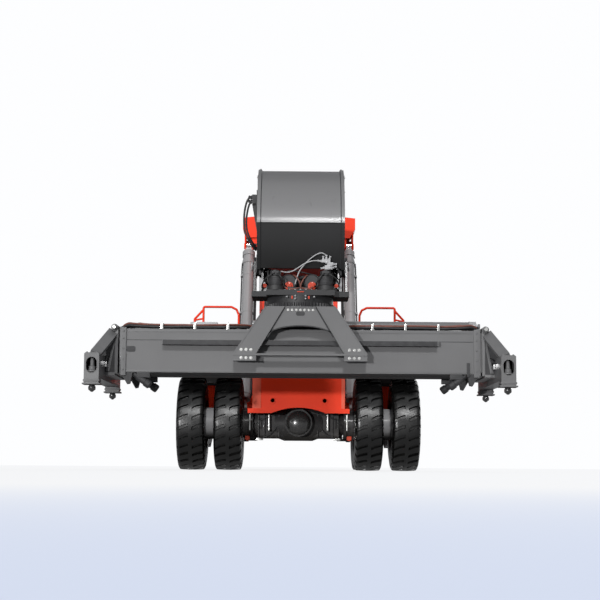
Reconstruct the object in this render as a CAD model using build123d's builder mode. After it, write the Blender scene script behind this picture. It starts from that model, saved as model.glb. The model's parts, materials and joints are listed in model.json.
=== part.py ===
from build123d import *
from math import atan2, cos, hypot, radians, sin
import os

# Reach stacker for containers, mm. +Z up, +X to the right of someone facing the spreader,
# the machine faces -Y. The origin is the middle of the whole machine's footprint, on the ground.

os.makedirs("parts", exist_ok=True)

# ---------------------------------------------------------------- driving sizes
wheelbase = 6000
overall_width = 4250
reach = 4110                  # spreader centre ahead of the front axle
tail = 1400                   # back of the counterweight behind the rear axle

tyre_radius = 820
tyre_width = 505
rim_radius = 318
dual_spacing = 645            # between the two tyres of a pair
rear_tyre_x = 1450
kingpin_x = 1120

lock_spacing_x = 5853         # container corner locks, 20 ft
lock_spacing_y = 2259
corner_half = 105             # half the side of a corner housing
telescope_stroke = 3050       # of each end

fit = 0.3                     # running gap of pins, pads and slides
panel_gap = 8                 # gap round a door

sides = (("left", -1), ("right", 1))

# ---------------------------------------------------------------- places that follow
front_reach = reach + lock_spacing_y / 2 + corner_half
front_y = (front_reach - wheelbase - tail) / 2   # front axle
rear_y = front_y + wheelbase                     # rear axle
spreader_y = front_y - reach
outer_tyre_x = (overall_width - tyre_width) / 2
inner_tyre_x = outer_tyre_x - dual_spacing
hub_z = tyre_radius

rail_inner_x = 420
rail_outer_x = 800
rail_low_z = 1060
rail_top_z = 1560
rail_front_z = 1900
front_frame_y = front_y - 740
deck_z = rail_top_z + 40
door_front_y, door_back_y = front_y + 3380, front_y + 4240
base_z = 1780                 # top of the plate that the tower and engine stand on
base_y = front_y + 4650
rear_frame_y = front_y + 5000
rear_frame_x = 480
rear_frame_end = rear_y + 950

# boom: places along it (u, backwards) and square to it (w, upwards), from its pivot
boom_slope = 1.5
pivot_y = rear_y + 400
pivot_z = 4100
outer_boom_x = 560
outer_boom_low, outer_boom_high = -260, 860
outer_boom_front, outer_boom_back = -7300, 500
boom_wall = 25
inner_boom_x = 480
inner_boom_low, inner_boom_high = -201, 799
inner_boom_front, inner_boom_back = -9450, -800
pivot_pin_radius = 110
extension_w = 300             # height of the extension cylinder in the boom
extension_back, extension_front = 375, -9250     # its two pins
extension_mouth = -6900       # front end of its barrel
extension_tail = -1700        # back end of its rod, inside the barrel
extension_radius, extension_rod_radius = 115, 75
extension_pin_radius = 55
extension_wall = 28
extension_eye_half = 70
extension_gland = 80          # length of the close-fitting mouth of the barrel
extension_solid = 700         # closed back of the barrel
tower_inner_x = 600
tower_outer_x = 760

# lift cylinders
lift_x = 1015
lift_foot = (front_y + 1400, 1100)
lift_eye = (front_y + 3200, 4522)
lift_barrel_radius = 112
lift_rod_radius = 85
lift_pin_radius = 60
lift_eye_radius = 115
lift_eye_half = 50
lift_foot_half = 55
lift_collar_gap = 165         # rod eye centre to the barrel's collar when closed

# boom head and the yoke under it
head_x = 650
head_plate = 50
yoke_pin_z = 3050
yoke_pin_radius = 60
yoke_base_low, yoke_base_high = 2560, 2640
ring_radius = 495
ring_split_z = 2480
ring_low_z = 2400

# spreader
beam_low_z, beam_high_z = 1408, 2040
main_half_x = 2560
end_plate_x = 2614
box_depth = 560
box_gap = 80                  # between the two long boxes
main_wall = 16
beam_gap = 14                 # round a telescoping beam
ledge_low_z, ledge_high_z = 1800, 1870
ledge_half_x = 1990
ledge_depth = 150
head_plate_x = 2640
cross_low_z, cross_high_z = 1283, 1628
flange_low_z = 1202
lock_low_z = 1110
lock_radius = 28


def boom_point(u, w):
    """Place (y, z) of a point given along and square to the boom."""
    slope = radians(boom_slope)
    return (pivot_y + u * cos(slope) - w * sin(slope), pivot_z + u * sin(slope) + w * cos(slope))


def block(xs, ys, zs, mode=Mode.ADD):
    """Box between two places along each axis."""
    with Locations(((xs[0] + xs[1]) / 2, (ys[0] + ys[1]) / 2, (zs[0] + zs[1]) / 2)):
        Box(abs(xs[1] - xs[0]), abs(ys[1] - ys[0]), abs(zs[1] - zs[0]), mode=mode)


def side_slab(points, xs, mode=Mode.ADD):
    """Outline seen from the side, points (y, z), between two places across."""
    with BuildSketch(Plane.YZ.offset(min(xs))) as outline:
        with BuildLine():
            Polyline(*points, close=True)
        make_face()
    extrude(outline.sketch, amount=abs(xs[1] - xs[0]), mode=mode)


def front_slab(points, ys, mode=Mode.ADD):
    """Outline seen from the front, points (x, z), between two places along."""
    with BuildSketch(Plane.XZ.offset(-max(ys))) as outline:
        with BuildLine():
            Polyline(*points, close=True)
        make_face()
    extrude(outline.sketch, amount=abs(ys[1] - ys[0]), mode=mode)


def boom_slab(us, ws, xs, mode=Mode.ADD):
    """Block between two places along, square to and across the boom."""
    corners = [(us[0], ws[0]), (us[1], ws[0]), (us[1], ws[1]), (us[0], ws[1])]
    side_slab([boom_point(u, w) for u, w in corners], xs, mode)


def rod(start, end, radius, mode=Mode.ADD):
    """Round bar between two places."""
    path = Vector(*end) - Vector(*start)
    with BuildSketch(Plane(origin=start, z_dir=path)) as section:
        Circle(radius)
    extrude(section.sketch, amount=path.length, mode=mode)


def cross_rod(xs, y, z, radius, mode=Mode.ADD):
    """Round bar across the machine."""
    rod((min(xs), y, z), (max(xs), y, z), radius, mode)


def turned(points, y, z, sign, mode=Mode.ADD):
    """Solid of revolution about a wheel's axle, points (distance out, radius)."""
    with BuildSketch(Plane(origin=(0, y, z), x_dir=(1, 0, 0), z_dir=(0, -1, 0))) as outline:
        with BuildLine():
            Polyline(*[(sign * out, radius) for out, radius in points], close=True)
        make_face()
    revolve(outline.sketch, axis=Axis((0, y, z), (1, 0, 0)), mode=mode)


# ---------------------------------------------------------------- chassis
foot_y, foot_z = lift_foot
for side, sign in sides:
    with BuildPart() as chassis_rail:
        rail_outline = [
            (front_frame_y, rail_low_z),
            (front_frame_y, rail_front_z),
            (front_y + 700, rail_front_z),
            (front_y + 1000, rail_top_z),
            (base_y - 50, rail_top_z),
            (base_y, base_z - 80),
            (rear_frame_y, base_z - 80),
            (rear_frame_y, rail_low_z),
        ]
        side_slab(rail_outline, (sign * rail_inner_x, sign * rail_outer_x))
        # clevis that carries the foot of the lift cylinder
        cheek_outline = [
            (foot_y - 230, foot_z - 190),
            (foot_y + 230, foot_z - 190),
            (foot_y + 110, foot_z + 105),
            (foot_y - 110, foot_z + 105),
        ]
        cheek_gap = lift_foot_half + 5
        for near, far in ((rail_outer_x, lift_x - cheek_gap), (lift_x + cheek_gap, lift_x + 110)):
            side_slab(cheek_outline, (sign * near, sign * far))
        block(
            (sign * rail_outer_x, sign * (lift_x + 110)),
            (foot_y - 230, foot_y + 230),
            (foot_z - 230, foot_z - 190),
        )
        cross_rod((sign * rail_outer_x, sign * (lift_x + 130)), foot_y, foot_z, lift_pin_radius)
    chassis_rail.part.label = f"chassis_rail_{side}"
    export_step(chassis_rail.part, f"parts/chassis_rail_{side}.step")

deck_front_y = front_y + 2050
strip_front_y = front_y + 1100
deck_half_x = 2050
strip_inner_x = 1250
with BuildPart() as chassis_deck:
    block((-deck_half_x, deck_half_x), (deck_front_y, base_y - 50), (rail_top_z, deck_z))
    for side, sign in sides:
        block(
            (sign * strip_inner_x, sign * deck_half_x),
            (strip_front_y, deck_front_y),
            (rail_top_z, deck_z),
        )
    for member_y in (deck_front_y + 50, base_y - 150):
        block(
            (-rail_inner_x, rail_inner_x),
            (member_y, member_y + 80),
            (rail_low_z + 140, rail_top_z),
        )
chassis_deck.part.label = "chassis_deck"
export_step(chassis_deck.part, "parts/chassis_deck.step")

# front plate with a shallow arch over the differential, and two tow holes
panel_half_x = rail_outer_x
panel_low_z = 979
panel_face_y = front_frame_y - 60
tow_hole_x = 448
tow_hole_z = 1196
tow_hole_radius = 35
arch_half_x = 466
arch_rise = 97
arch_radius = (arch_half_x**2 + arch_rise**2) / (2 * arch_rise)
with BuildPart() as front_panel:
    block((-panel_half_x, panel_half_x), (panel_face_y, front_frame_y), (panel_low_z, rail_front_z))
    block((-878, 878), (panel_face_y - 15, front_frame_y + 90), (panel_low_z, rail_low_z))
    block((-rail_inner_x, rail_inner_x), (front_frame_y, front_y + 700), (rail_front_z - 40, rail_front_z))
    arch_z = panel_low_z + arch_rise - arch_radius
    rod((0, panel_face_y - 50, arch_z), (0, front_y, arch_z), arch_radius, Mode.SUBTRACT)
    for side, sign in sides:
        rod(
            (sign * tow_hole_x, panel_face_y - 10, tow_hole_z),
            (sign * tow_hole_x, front_frame_y + 10, tow_hole_z),
            tow_hole_radius,
            Mode.SUBTRACT,
        )
front_panel.part.label = "front_panel"
export_step(front_panel.part, "parts/front_panel.step")

with BuildPart() as rear_frame:
    block((-rear_frame_x, rear_frame_x), (rear_frame_y, rear_frame_end), (rail_low_z, base_z - 80))
    block((-rail_outer_x, rail_outer_x), (base_y, rear_frame_end), (base_z - 80, base_z))
    block((-150, 150), (rear_y - 130, rear_y + 130), (940, rail_low_z))
rear_frame.part.label = "rear_frame"
export_step(rear_frame.part, "parts/rear_frame.step")

# ---------------------------------------------------------------- axles
spindle_radius = 100
hub_inner_x = inner_tyre_x - 242
with BuildPart() as drive_axle:
    housing = [(-700, 560), (700, 560), (700, 1020), (-700, 1020)]
    front_slab(housing, (front_y - 200, front_y + 200))
    fillet(drive_axle.edges().filter_by(Axis.X), radius=70)
    turned([(0, 0), (0, 300), (250, 300), (420, 235), (420, 0)], front_y, hub_z, 1)
    turned([(0, 0), (0, 300), (250, 300), (420, 235), (420, 0)], front_y, hub_z, -1)
    for side, sign in sides:
        turned([(650, 0), (650, 225), (820, 180), (820, 0)], front_y, hub_z, sign)
        turned([(800, 0), (800, 240), (hub_inner_x - 6, 240), (hub_inner_x - 6, 0)], front_y, hub_z, sign)
        turned(
            [(900, 0), (900, spindle_radius), (outer_tyre_x, spindle_radius), (outer_tyre_x, 0)],
            front_y,
            hub_z,
            sign,
        )
        for plate_x in (515, 855):
            block(
                (sign * plate_x - 15, sign * plate_x + 15),
                (front_y - 280, front_y + 280),
                (680, rail_low_z if plate_x < rail_outer_x else 990),
            )
        block((sign * 440, sign * 790), (front_y - 280, front_y + 280), (1015, rail_low_z))
    rod((0, front_y, hub_z + 8), (0, front_y - 440, hub_z + 8), 210)
    with BuildSketch(Plane(origin=(0, front_y - 440, hub_z + 8), x_dir=(1, 0, 0), z_dir=(0, -1, 0))):
        Circle(210)
    extrude(amount=60, taper=32)
    rod((0, front_y, hub_z), (0, front_y + 420, hub_z), 170)
    rod((0, front_y + 400, hub_z), (0, front_y + 560, hub_z), 110)
    rod((0, front_y + 540, hub_z), (0, base_y - 10, hub_z), 55)
drive_axle.part.label = "drive_axle"
export_step(drive_axle.part, "parts/drive_axle.step")

fork_radius = 95
fork_low_z, fork_high_z = 630, 1010
fork_plate = 50
kingpin_radius = 50
with BuildPart() as steer_axle:
    beam = [
        (-930, hub_z - 120),
        (930, hub_z - 120),
        (1000, hub_z - 60),
        (1000, hub_z + 60),
        (930, hub_z + 120),
        (-930, hub_z + 120),
        (-1000, hub_z + 60),
        (-1000, hub_z - 60),
    ]
    front_slab(beam, (rear_y - 130, rear_y + 130))
    for side, sign in sides:
        for low, high in ((fork_low_z, fork_low_z + fork_plate), (fork_high_z - fork_plate, fork_high_z)):
            block((sign * 880, sign * kingpin_x), (rear_y - fork_radius, rear_y + fork_radius), (low, high))
            rod((sign * kingpin_x, rear_y, low), (sign * kingpin_x, rear_y, high), fork_radius)
        block(
            (sign * 880, sign * 990),
            (rear_y - fork_radius, rear_y + fork_radius),
            (fork_low_z, fork_high_z),
        )
        rod(
            (sign * kingpin_x, rear_y, fork_low_z - 20),
            (sign * kingpin_x, rear_y, fork_high_z + 20),
            kingpin_radius,
        )
    block((-430, 430), (rear_y + 130, rear_y + 230), (hub_z - 80, hub_z + 60))
steer_axle.part.label = "steer_axle"
export_step(steer_axle.part, "parts/steer_axle.step")

rear_spindle_radius = 80
for side, sign in sides:
    with BuildPart() as knuckle:
        rod(
            (sign * kingpin_x, rear_y, fork_low_z + fork_plate + fit),
            (sign * kingpin_x, rear_y, fork_high_z - fork_plate - fit),
            fork_radius,
        )
        turned(
            [
                (kingpin_x + 20, 0),
                (kingpin_x + 20, rear_spindle_radius),
                (rear_tyre_x + 150, rear_spindle_radius),
                (rear_tyre_x + 150, 0),
            ],
            rear_y,
            hub_z,
            sign,
        )
        rod(
            (sign * kingpin_x, rear_y, fork_low_z),
            (sign * kingpin_x, rear_y, fork_high_z),
            kingpin_radius + fit,
            Mode.SUBTRACT,
        )
    knuckle.part.label = f"knuckle_{side}"
    export_step(knuckle.part, f"parts/knuckle_{side}.step")

# ---------------------------------------------------------------- wheels and tyres
rim_half = 182.5              # between the rim's flanges
flange = 18
flange_radius = 350
rim_wall = 20
drum_radius = 275
hub_radius = 200


def tyre(centre_x, y, sign):
    """One tyre: bead, bulged side walls, rounded shoulders and a crowned tread."""
    bead_x = rim_half - fit
    half = tyre_width / 2
    with BuildSketch(Plane(origin=(sign * centre_x, y, hub_z), x_dir=(1, 0, 0), z_dir=(0, -1, 0))) as section:
        with BuildLine():
            for way in (-1, 1):
                widest = (way * half, (flange_radius + tyre_radius) / 2 - 15)
                Line((way * bead_x, rim_radius + fit), (way * bead_x, flange_radius + 4))
                TangentArc(widest, (way * bead_x, flange_radius + 4), tangent=(0, -1))
                TangentArc(widest, (way * (half - 12), tyre_radius - 85), tangent=(0, 1))
                Line((way * (half - 12), tyre_radius - 85), (way * (half - 42), tyre_radius - 16))
            ThreePointArc(
                (42 - half, tyre_radius - 16), (0, tyre_radius), (half - 42, tyre_radius - 16)
            )
            Line((-bead_x, rim_radius + fit), (bead_x, rim_radius + fit))
        make_face()
    revolve(section.sketch, axis=Axis((0, y, hub_z), (1, 0, 0)))


for side, sign in sides:
    with BuildPart() as front_wheel:
        inner_edge = inner_tyre_x - rim_half
        outer_edge = outer_tyre_x + rim_half
        wheel_outline = [
            (hub_inner_x, spindle_radius + fit),
            (hub_inner_x, drum_radius),
            (inner_edge - flange, drum_radius),
            (inner_edge - flange, flange_radius),
            (inner_edge, flange_radius),
            (inner_edge, rim_radius),
            (inner_tyre_x + rim_half, rim_radius),
            (inner_tyre_x + rim_half, flange_radius),
            (inner_tyre_x + rim_half + flange, flange_radius),
            (inner_tyre_x + rim_half + flange, drum_radius),
            (outer_tyre_x - rim_half - flange, drum_radius),
            (outer_tyre_x - rim_half - flange, flange_radius),
            (outer_tyre_x - rim_half, flange_radius),
            (outer_tyre_x - rim_half, rim_radius),
            (outer_edge, rim_radius),
            (outer_edge, flange_radius),
            (outer_edge + flange, flange_radius),
            (outer_edge + flange, rim_radius - rim_wall),
            (outer_tyre_x - 90, rim_radius - rim_wall),
            (outer_tyre_x - 120, rim_radius - rim_wall - 40),
            (outer_tyre_x - 120, hub_radius),
            (outer_tyre_x + 110, hub_radius),
            (outer_tyre_x + 145, hub_radius - 45),
            (outer_tyre_x + 145, 0),
            (outer_tyre_x + 5, 0),
            (outer_tyre_x + 5, spindle_radius + fit),
        ]
        turned(wheel_outline, front_y, hub_z, sign)
    front_wheel.part.label = f"front_wheel_{side}"
    export_step(front_wheel.part, f"parts/front_wheel_{side}.step")

    with BuildPart() as front_tyres:
        for centre_x in (inner_tyre_x, outer_tyre_x):
            tyre(centre_x, front_y, sign)
    front_tyres.part.label = f"front_tyres_{side}"
    export_step(front_tyres.part, f"parts/front_tyres_{side}.step")

    with BuildPart() as rear_wheel:
        inner_edge = rear_tyre_x - rim_half
        outer_edge = rear_tyre_x + rim_half
        wheel_outline = [
            (kingpin_x + 120, rear_spindle_radius + fit),
            (kingpin_x + 120, 150),
            (rear_tyre_x + 40, 150),
            (rear_tyre_x + 60, rim_radius - rim_wall),
            (inner_edge - flange, rim_radius - rim_wall),
            (inner_edge - flange, flange_radius),
            (inner_edge, flange_radius),
            (inner_edge, rim_radius),
            (outer_edge, rim_radius),
            (outer_edge, flange_radius),
            (outer_edge + flange, flange_radius),
            (outer_edge + flange, rim_radius - rim_wall),
            (rear_tyre_x + 120, rim_radius - rim_wall),
            (rear_tyre_x + 95, 160),
            (rear_tyre_x + 200, 130),
            (rear_tyre_x + 215, 0),
            (rear_tyre_x + 155, 0),
            (rear_tyre_x + 155, rear_spindle_radius + fit),
        ]
        turned(wheel_outline, rear_y, hub_z, sign)
    rear_wheel.part.label = f"rear_wheel_{side}"
    export_step(rear_wheel.part, f"parts/rear_wheel_{side}.step")

    with BuildPart() as rear_tyre:
        tyre(rear_tyre_x, rear_y, sign)
    rear_tyre.part.label = f"rear_tyre_{side}"
    export_step(rear_tyre.part, f"parts/rear_tyre_{side}.step")

# ---------------------------------------------------------------- tail of the machine
tow_pin_radius = 25
tow_jaw_low, tow_jaw_high = 1000, 1110
counterweight_half_x = 1900
counterweight_low_z, counterweight_high_z = 800, 2150
tyre_sweep = hypot(rear_tyre_x - kingpin_x + tyre_width / 2, tyre_radius)
with BuildPart() as counterweight:
    # the wide part stays behind the circle that a steered tyre sweeps
    wide_y = max(rear_y + tyre_sweep + 30, rear_frame_end + 40)
    for half_x, face_y in ((counterweight_half_x, wide_y), (rail_outer_x, rear_frame_end)):
        block((-half_x, half_x), (face_y, rear_y + tail), (counterweight_low_z, counterweight_high_z))
    back_corners = counterweight.edges().filter_by(Axis.Z).group_by(Axis.Y)[-1]
    fillet(back_corners, radius=220)
    top_edges = counterweight.edges().filter_by(Axis.X).group_by(Axis.Z)[-1].sort_by(Axis.Y)[-1]
    chamfer(top_edges, length=120)
    jaw_y = rear_y + tail
    # jaw for a tow bar, with a pocket above it to drop the pin from
    for low, high in ((tow_jaw_low, tow_jaw_high), (tow_jaw_high + 110, tow_jaw_high + 390)):
        block((-110, 110), (jaw_y - 260, jaw_y + 10), (low, high), Mode.SUBTRACT)
    rod(
        (0, jaw_y - 110, counterweight_low_z - 10),
        (0, jaw_y - 110, tow_jaw_high + 110),
        tow_pin_radius,
        Mode.SUBTRACT,
    )
counterweight.part.label = "counterweight"
export_step(counterweight.part, "parts/counterweight.step")

with BuildPart() as boom_tower:
    tower_outline = [
        (rear_y - 700, base_z),
        (rear_frame_end - 50, base_z),
        (pivot_y + 330, pivot_z + 60),
        (pivot_y + 180, pivot_z + 290),
        (pivot_y - 180, pivot_z + 290),
        (pivot_y - 330, pivot_z + 60),
    ]
    for side, sign in sides:
        side_slab(tower_outline, (sign * tower_inner_x, sign * tower_outer_x))
        cross_rod((sign * tower_outer_x, sign * (tower_outer_x + 40)), pivot_y, pivot_z, 190)
        cross_rod(
            (sign * (tower_inner_x - 5), sign * (tower_outer_x + 15)),
            pivot_y,
            pivot_z,
            pivot_pin_radius + fit,
            Mode.SUBTRACT,
        )
boom_tower.part.label = "boom_tower"
export_step(boom_tower.part, "parts/boom_tower.step")

hood_x = tower_inner_x - 10
hood_high_z = 2750
cabinet_x = 1300
cabinet_back_y = rear_y - 720
hood_wall = 30
with BuildPart() as engine_hood:
    block((-hood_x, hood_x), (base_y, rear_frame_end - 60), (base_z, hood_high_z))
    block((-cabinet_x, cabinet_x), (base_y, cabinet_back_y), (base_z, hood_high_z))
    hood_back = engine_hood.edges().filter_by(Axis.X).group_by(Axis.Z)[-1].sort_by(Axis.Y)[-1]
    chamfer(hood_back, length=250)
    block(
        (hood_wall - hood_x, hood_x - hood_wall),
        (base_y + hood_wall, rear_frame_end - 60 - hood_wall),
        (base_z - 10, hood_high_z - 300),
        Mode.SUBTRACT,
    )
    block(
        (hood_wall - cabinet_x, cabinet_x - hood_wall),
        (base_y + hood_wall, cabinet_back_y - hood_wall),
        (base_z - 10, hood_high_z - hood_wall),
        Mode.SUBTRACT,
    )
engine_hood.part.label = "engine_hood"
export_step(engine_hood.part, "parts/engine_hood.step")

gearbox_low_z = 720
with BuildPart() as engine_block:
    block((-380, 380), (rear_frame_y - 5, rear_y + 450), (base_z, 2420))
    block((-330, 330), (base_y + hood_wall + 5, rear_frame_y - 5), (base_z, 2300))
    block((-330, 330), (base_y - 10, rear_frame_y), (gearbox_low_z, base_z - 80))
engine_block.part.label = "engine_block"
export_step(engine_block.part, "parts/engine_block.step")

# ---------------------------------------------------------------- tanks, fenders, rails, steps
tank_low_z = 620
tank_back_y = front_y + 3250
tanks = (("fuel_tank", -1), ("hydraulic_tank", 1))
for tank_name, sign in tanks:
    with BuildPart() as tank:
        block(
            (sign * (strip_inner_x + 20), sign * deck_half_x),
            (strip_front_y + 20, tank_back_y),
            (tank_low_z, rail_top_z),
        )
        fillet(tank.edges().filter_by(Axis.Y).group_by(Axis.Z)[0], radius=120)
        # hollow inside
        block(
            (sign * (strip_inner_x + 60), sign * (deck_half_x - 40)),
            (strip_front_y + 60, tank_back_y - 40),
            (tank_low_z + 130, rail_top_z - 40),
            Mode.SUBTRACT,
        )
    tank.part.label = tank_name
    export_step(tank.part, f"parts/{tank_name}.step")

fender_z = 1790
with BuildPart() as front_fenders:
    fender_outline = [
        (front_frame_y - 60, fender_z - 100),
        (front_frame_y - 60, fender_z),
        (strip_front_y - 150, fender_z),
        (strip_front_y, fender_z - 150),
        (strip_front_y, rail_top_z),
        (strip_front_y - 40, rail_top_z),
        (strip_front_y - 40, fender_z - 170),
        (strip_front_y - 165, fender_z - 40),
        (front_frame_y - 20, fender_z - 40),
        (front_frame_y - 20, fender_z - 100),
    ]
    for side, sign in sides:
        side_slab(fender_outline, (sign * strip_inner_x, sign * overall_width / 2))
        flat = [
            (front_frame_y - 60, fender_z - 40),
            (front_frame_y - 60, fender_z),
            (front_y + 700, fender_z),
            (front_y + 700, fender_z - 40),
        ]
        side_slab(flat, (sign * rail_outer_x, sign * strip_inner_x))
front_fenders.part.label = "front_fenders"
export_step(front_fenders.part, "parts/front_fenders.step")

rear_fender_x = 1760
with BuildPart() as rear_fenders:
    rear_outline = [
        (rear_y - 1000, base_z - 160),
        (rear_y - 900, base_z - 40),
        (rear_frame_end, base_z - 40),
        (rear_frame_end, base_z),
        (rear_y - 915, base_z),
        (rear_y - 1032, base_z - 140),
    ]
    for side, sign in sides:
        side_slab(rear_outline, (sign * rail_outer_x, sign * rear_fender_x))
rear_fenders.part.label = "rear_fenders"
export_step(rear_fenders.part, "parts/rear_fenders.step")

# hoop on each front fender: upright outer post with a brace, top bar and rounded inner corner
rail_tube_radius = 20
rail_high_z = 2870
rail_brace_z = (2650, 2820)
rail_post_x, rail_brace_x, rail_inner_end = 1695, 1850, 1070
rail_y = front_y - 300
with BuildPart() as guard_rails:
    for side, sign in sides:
        hoop_runs = (
            [
                (rail_post_x, fender_z),
                (rail_post_x, rail_high_z),
                (rail_inner_end + 130, rail_high_z),
                (rail_inner_end + 40, rail_high_z - 45),
                (rail_inner_end, rail_high_z - 140),
                (rail_inner_end, fender_z),
            ],
            [
                (rail_brace_x, fender_z),
                (rail_brace_x, rail_brace_z[0]),
                (rail_post_x, rail_brace_z[1]),
            ],
        )
        for run in hoop_runs:
            with BuildLine() as hoop:
                FilletPolyline(*[(sign * x, rail_y, z) for x, z in run], radius=30)
            with BuildSketch(Plane(origin=(sign * run[0][0], rail_y, fender_z), z_dir=(0, 0, 1))):
                Circle(rail_tube_radius)
            sweep(path=hoop.line)
        rod(
            (sign * rail_post_x, rail_y, rail_brace_z[0] + 10),
            (sign * rail_brace_x, rail_y, rail_brace_z[0] - 20),
            rail_tube_radius - 4,
        )
guard_rails.part.label = "guard_rails"
export_step(guard_rails.part, "parts/guard_rails.step")

step_front_y = door_front_y
step_back_y = door_back_y - 20
step_heights = (520, 880, 1240)
with BuildPart() as access_steps:
    for side, sign in sides:
        for plate_y in (step_front_y, step_back_y - 20):
            ladder = [
                (sign * (deck_half_x - 420), rail_top_z),
                (sign * deck_half_x, rail_top_z),
                (sign * deck_half_x, step_heights[0] - 60),
                (sign * (deck_half_x - 250), step_heights[0] - 60),
                (sign * (deck_half_x - 420), step_heights[-1]),
            ]
            front_slab(ladder, (plate_y, plate_y + 20))
        for height in step_heights:
            block(
                (sign * (deck_half_x - 250), sign * deck_half_x),
                (step_front_y + 10, step_back_y - 10),
                (height - 40, height),
            )
access_steps.part.label = "access_steps"
export_step(access_steps.part, "parts/access_steps.step")

# ---------------------------------------------------------------- cab
cab_x = 780
cab_wall = 50
cab_front_y = front_y + 2720
cab_back_y = front_y + 4500
cab_high_z = 3540
sill_z = 2320                 # lower edge of the windows
head_z = cab_high_z - 120     # upper edge of the windows
door_low_z = deck_z + 60
door_high_z = head_z + 20
cab_outline = [
    (cab_front_y + 60, deck_z),
    (cab_front_y, sill_z),
    (cab_front_y + 160, cab_high_z),
    (cab_back_y - 60, cab_high_z),
    (cab_back_y, cab_high_z - 160),
    (cab_back_y, deck_z),
]
front_lean = 160 / (cab_high_z - sill_z)


def front_glass_y(z, depth):
    """Place of the front window's face at a height, a depth inside the cab's face."""
    return cab_front_y + (z - sill_z) * front_lean + depth


roof_window = ((-480, 480), (cab_front_y + 380, cab_back_y - 420))
rear_window = ((-620, 620), (sill_z, head_z - 120))
quarter_y = (cab_front_y + 250, door_front_y - 90)
with BuildPart() as cab_shell:
    side_slab(cab_outline, (-cab_x, cab_x))
    with BuildSketch(Plane.YZ.offset(cab_wall - cab_x)):
        with BuildLine():
            Polyline(*cab_outline, close=True)
        make_face()
        offset(amount=-cab_wall, kind=Kind.INTERSECTION, mode=Mode.REPLACE)
    extrude(amount=2 * (cab_x - cab_wall), mode=Mode.SUBTRACT)
    front_cut = [
        (cab_front_y - 50, sill_z + 60),
        (cab_front_y - 50, head_z),
        (front_glass_y(head_z, 90), head_z),
        (front_glass_y(sill_z + 60, 90), sill_z + 60),
    ]
    side_slab(front_cut, (-680, 680), Mode.SUBTRACT)
    block(rear_window[0], (cab_back_y - 100, cab_back_y + 50), rear_window[1], Mode.SUBTRACT)
    block(*roof_window, (cab_high_z - 80, cab_high_z + 20), Mode.SUBTRACT)
    for side, sign in sides:
        wall_x = (sign * (cab_x - 100), sign * (cab_x + 50))
        block(wall_x, (door_front_y, door_back_y), (door_low_z, door_high_z), Mode.SUBTRACT)
        block(wall_x, quarter_y, (sill_z, head_z), Mode.SUBTRACT)
cab_shell.part.label = "cab_shell"
export_step(cab_shell.part, "parts/cab_shell.step")

glass = 8
with BuildPart() as cab_glass:
    front_pane = [
        (front_glass_y(sill_z + 60 + fit, 20), sill_z + 60 + fit),
        (front_glass_y(head_z - fit, 20), head_z - fit),
        (front_glass_y(head_z - fit, 20 + glass), head_z - fit),
        (front_glass_y(sill_z + 60 + fit, 20 + glass), sill_z + 60 + fit),
    ]
    side_slab(front_pane, (fit - 680, 680 - fit))
    block(
        (rear_window[0][0] + fit, rear_window[0][1] - fit),
        (cab_back_y - 30, cab_back_y - 30 + glass),
        (rear_window[1][0] + fit, rear_window[1][1] - fit),
    )
    block(
        (roof_window[0][0] + fit, roof_window[0][1] - fit),
        (roof_window[1][0] + fit, roof_window[1][1] - fit),
        (cab_high_z - 30, cab_high_z - 30 + glass),
    )
    for side, sign in sides:
        block(
            (sign * (cab_x - 30), sign * (cab_x - 30 + glass)),
            (quarter_y[0] + fit, quarter_y[1] - fit),
            (sill_z + fit, head_z - fit),
        )
cab_glass.part.label = "cab_glass"
export_step(cab_glass.part, "parts/cab_glass.step")

door_frame = 80
for side, sign in sides:
    door_y = (door_front_y + panel_gap, door_back_y - panel_gap)
    door_z = (door_low_z + panel_gap, door_high_z - panel_gap)
    window_y = (door_y[0] + door_frame, door_y[1] - door_frame)
    window_z = (2150, door_z[1] - door_frame)
    with BuildPart() as cab_door:
        block((sign * (cab_x - 40), sign * cab_x), door_y, door_z)
        block((sign * (cab_x - 60), sign * (cab_x + 20)), window_y, window_z, Mode.SUBTRACT)
        # hinge knuckles at the back edge, grab handle at the front
        for hinge_z in (door_z[0] + 300, door_z[1] - 300):
            rod(
                (sign * (cab_x + 14), door_back_y, hinge_z - 60),
                (sign * (cab_x + 14), door_back_y, hinge_z + 60),
                13.5,
            )
            block(
                (sign * cab_x, sign * (cab_x + 14)),
                (door_back_y - 60, door_back_y),
                (hinge_z - 60, hinge_z + 60),
            )
        block(
            (sign * cab_x, sign * (cab_x + 45)),
            (door_y[0] + 30, door_y[0] + 50),
            (2020, 2120),
        )
    cab_door.part.label = f"cab_door_{side}"
    export_step(cab_door.part, f"parts/cab_door_{side}.step")

    with BuildPart() as door_glass:
        block(
            (sign * (cab_x - 24), sign * (cab_x - 24 + glass)),
            (window_y[0] + fit, window_y[1] - fit),
            (window_z[0] + fit, window_z[1] - fit),
        )
    door_glass.part.label = f"door_glass_{side}"
    export_step(door_glass.part, f"parts/door_glass_{side}.step")

floor_z = deck_z + cab_wall
seat_y = front_y + 3850
with BuildPart() as seat_frame:
    block((-200, 200), (seat_y - 180, seat_y + 240), (floor_z, floor_z + 380))
    block((-250, 250), (seat_y - 260, seat_y + 300), (floor_z + 380, floor_z + 420))
    block((-200, 200), (seat_y + 270, seat_y + 300), (floor_z + 420, floor_z + 1150))
seat_frame.part.label = "seat_frame"
export_step(seat_frame.part, "parts/seat_frame.step")

with BuildPart() as seat_cushions:
    block((-250, 250), (seat_y - 280, seat_y + 130), (floor_z + 420 + fit, floor_z + 540))
    block((-240, 240), (seat_y + 150, seat_y + 270 - fit), (floor_z + 480, floor_z + 1180))
seat_cushions.part.label = "seat_cushions"
export_step(seat_cushions.part, "parts/seat_cushions.step")

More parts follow.
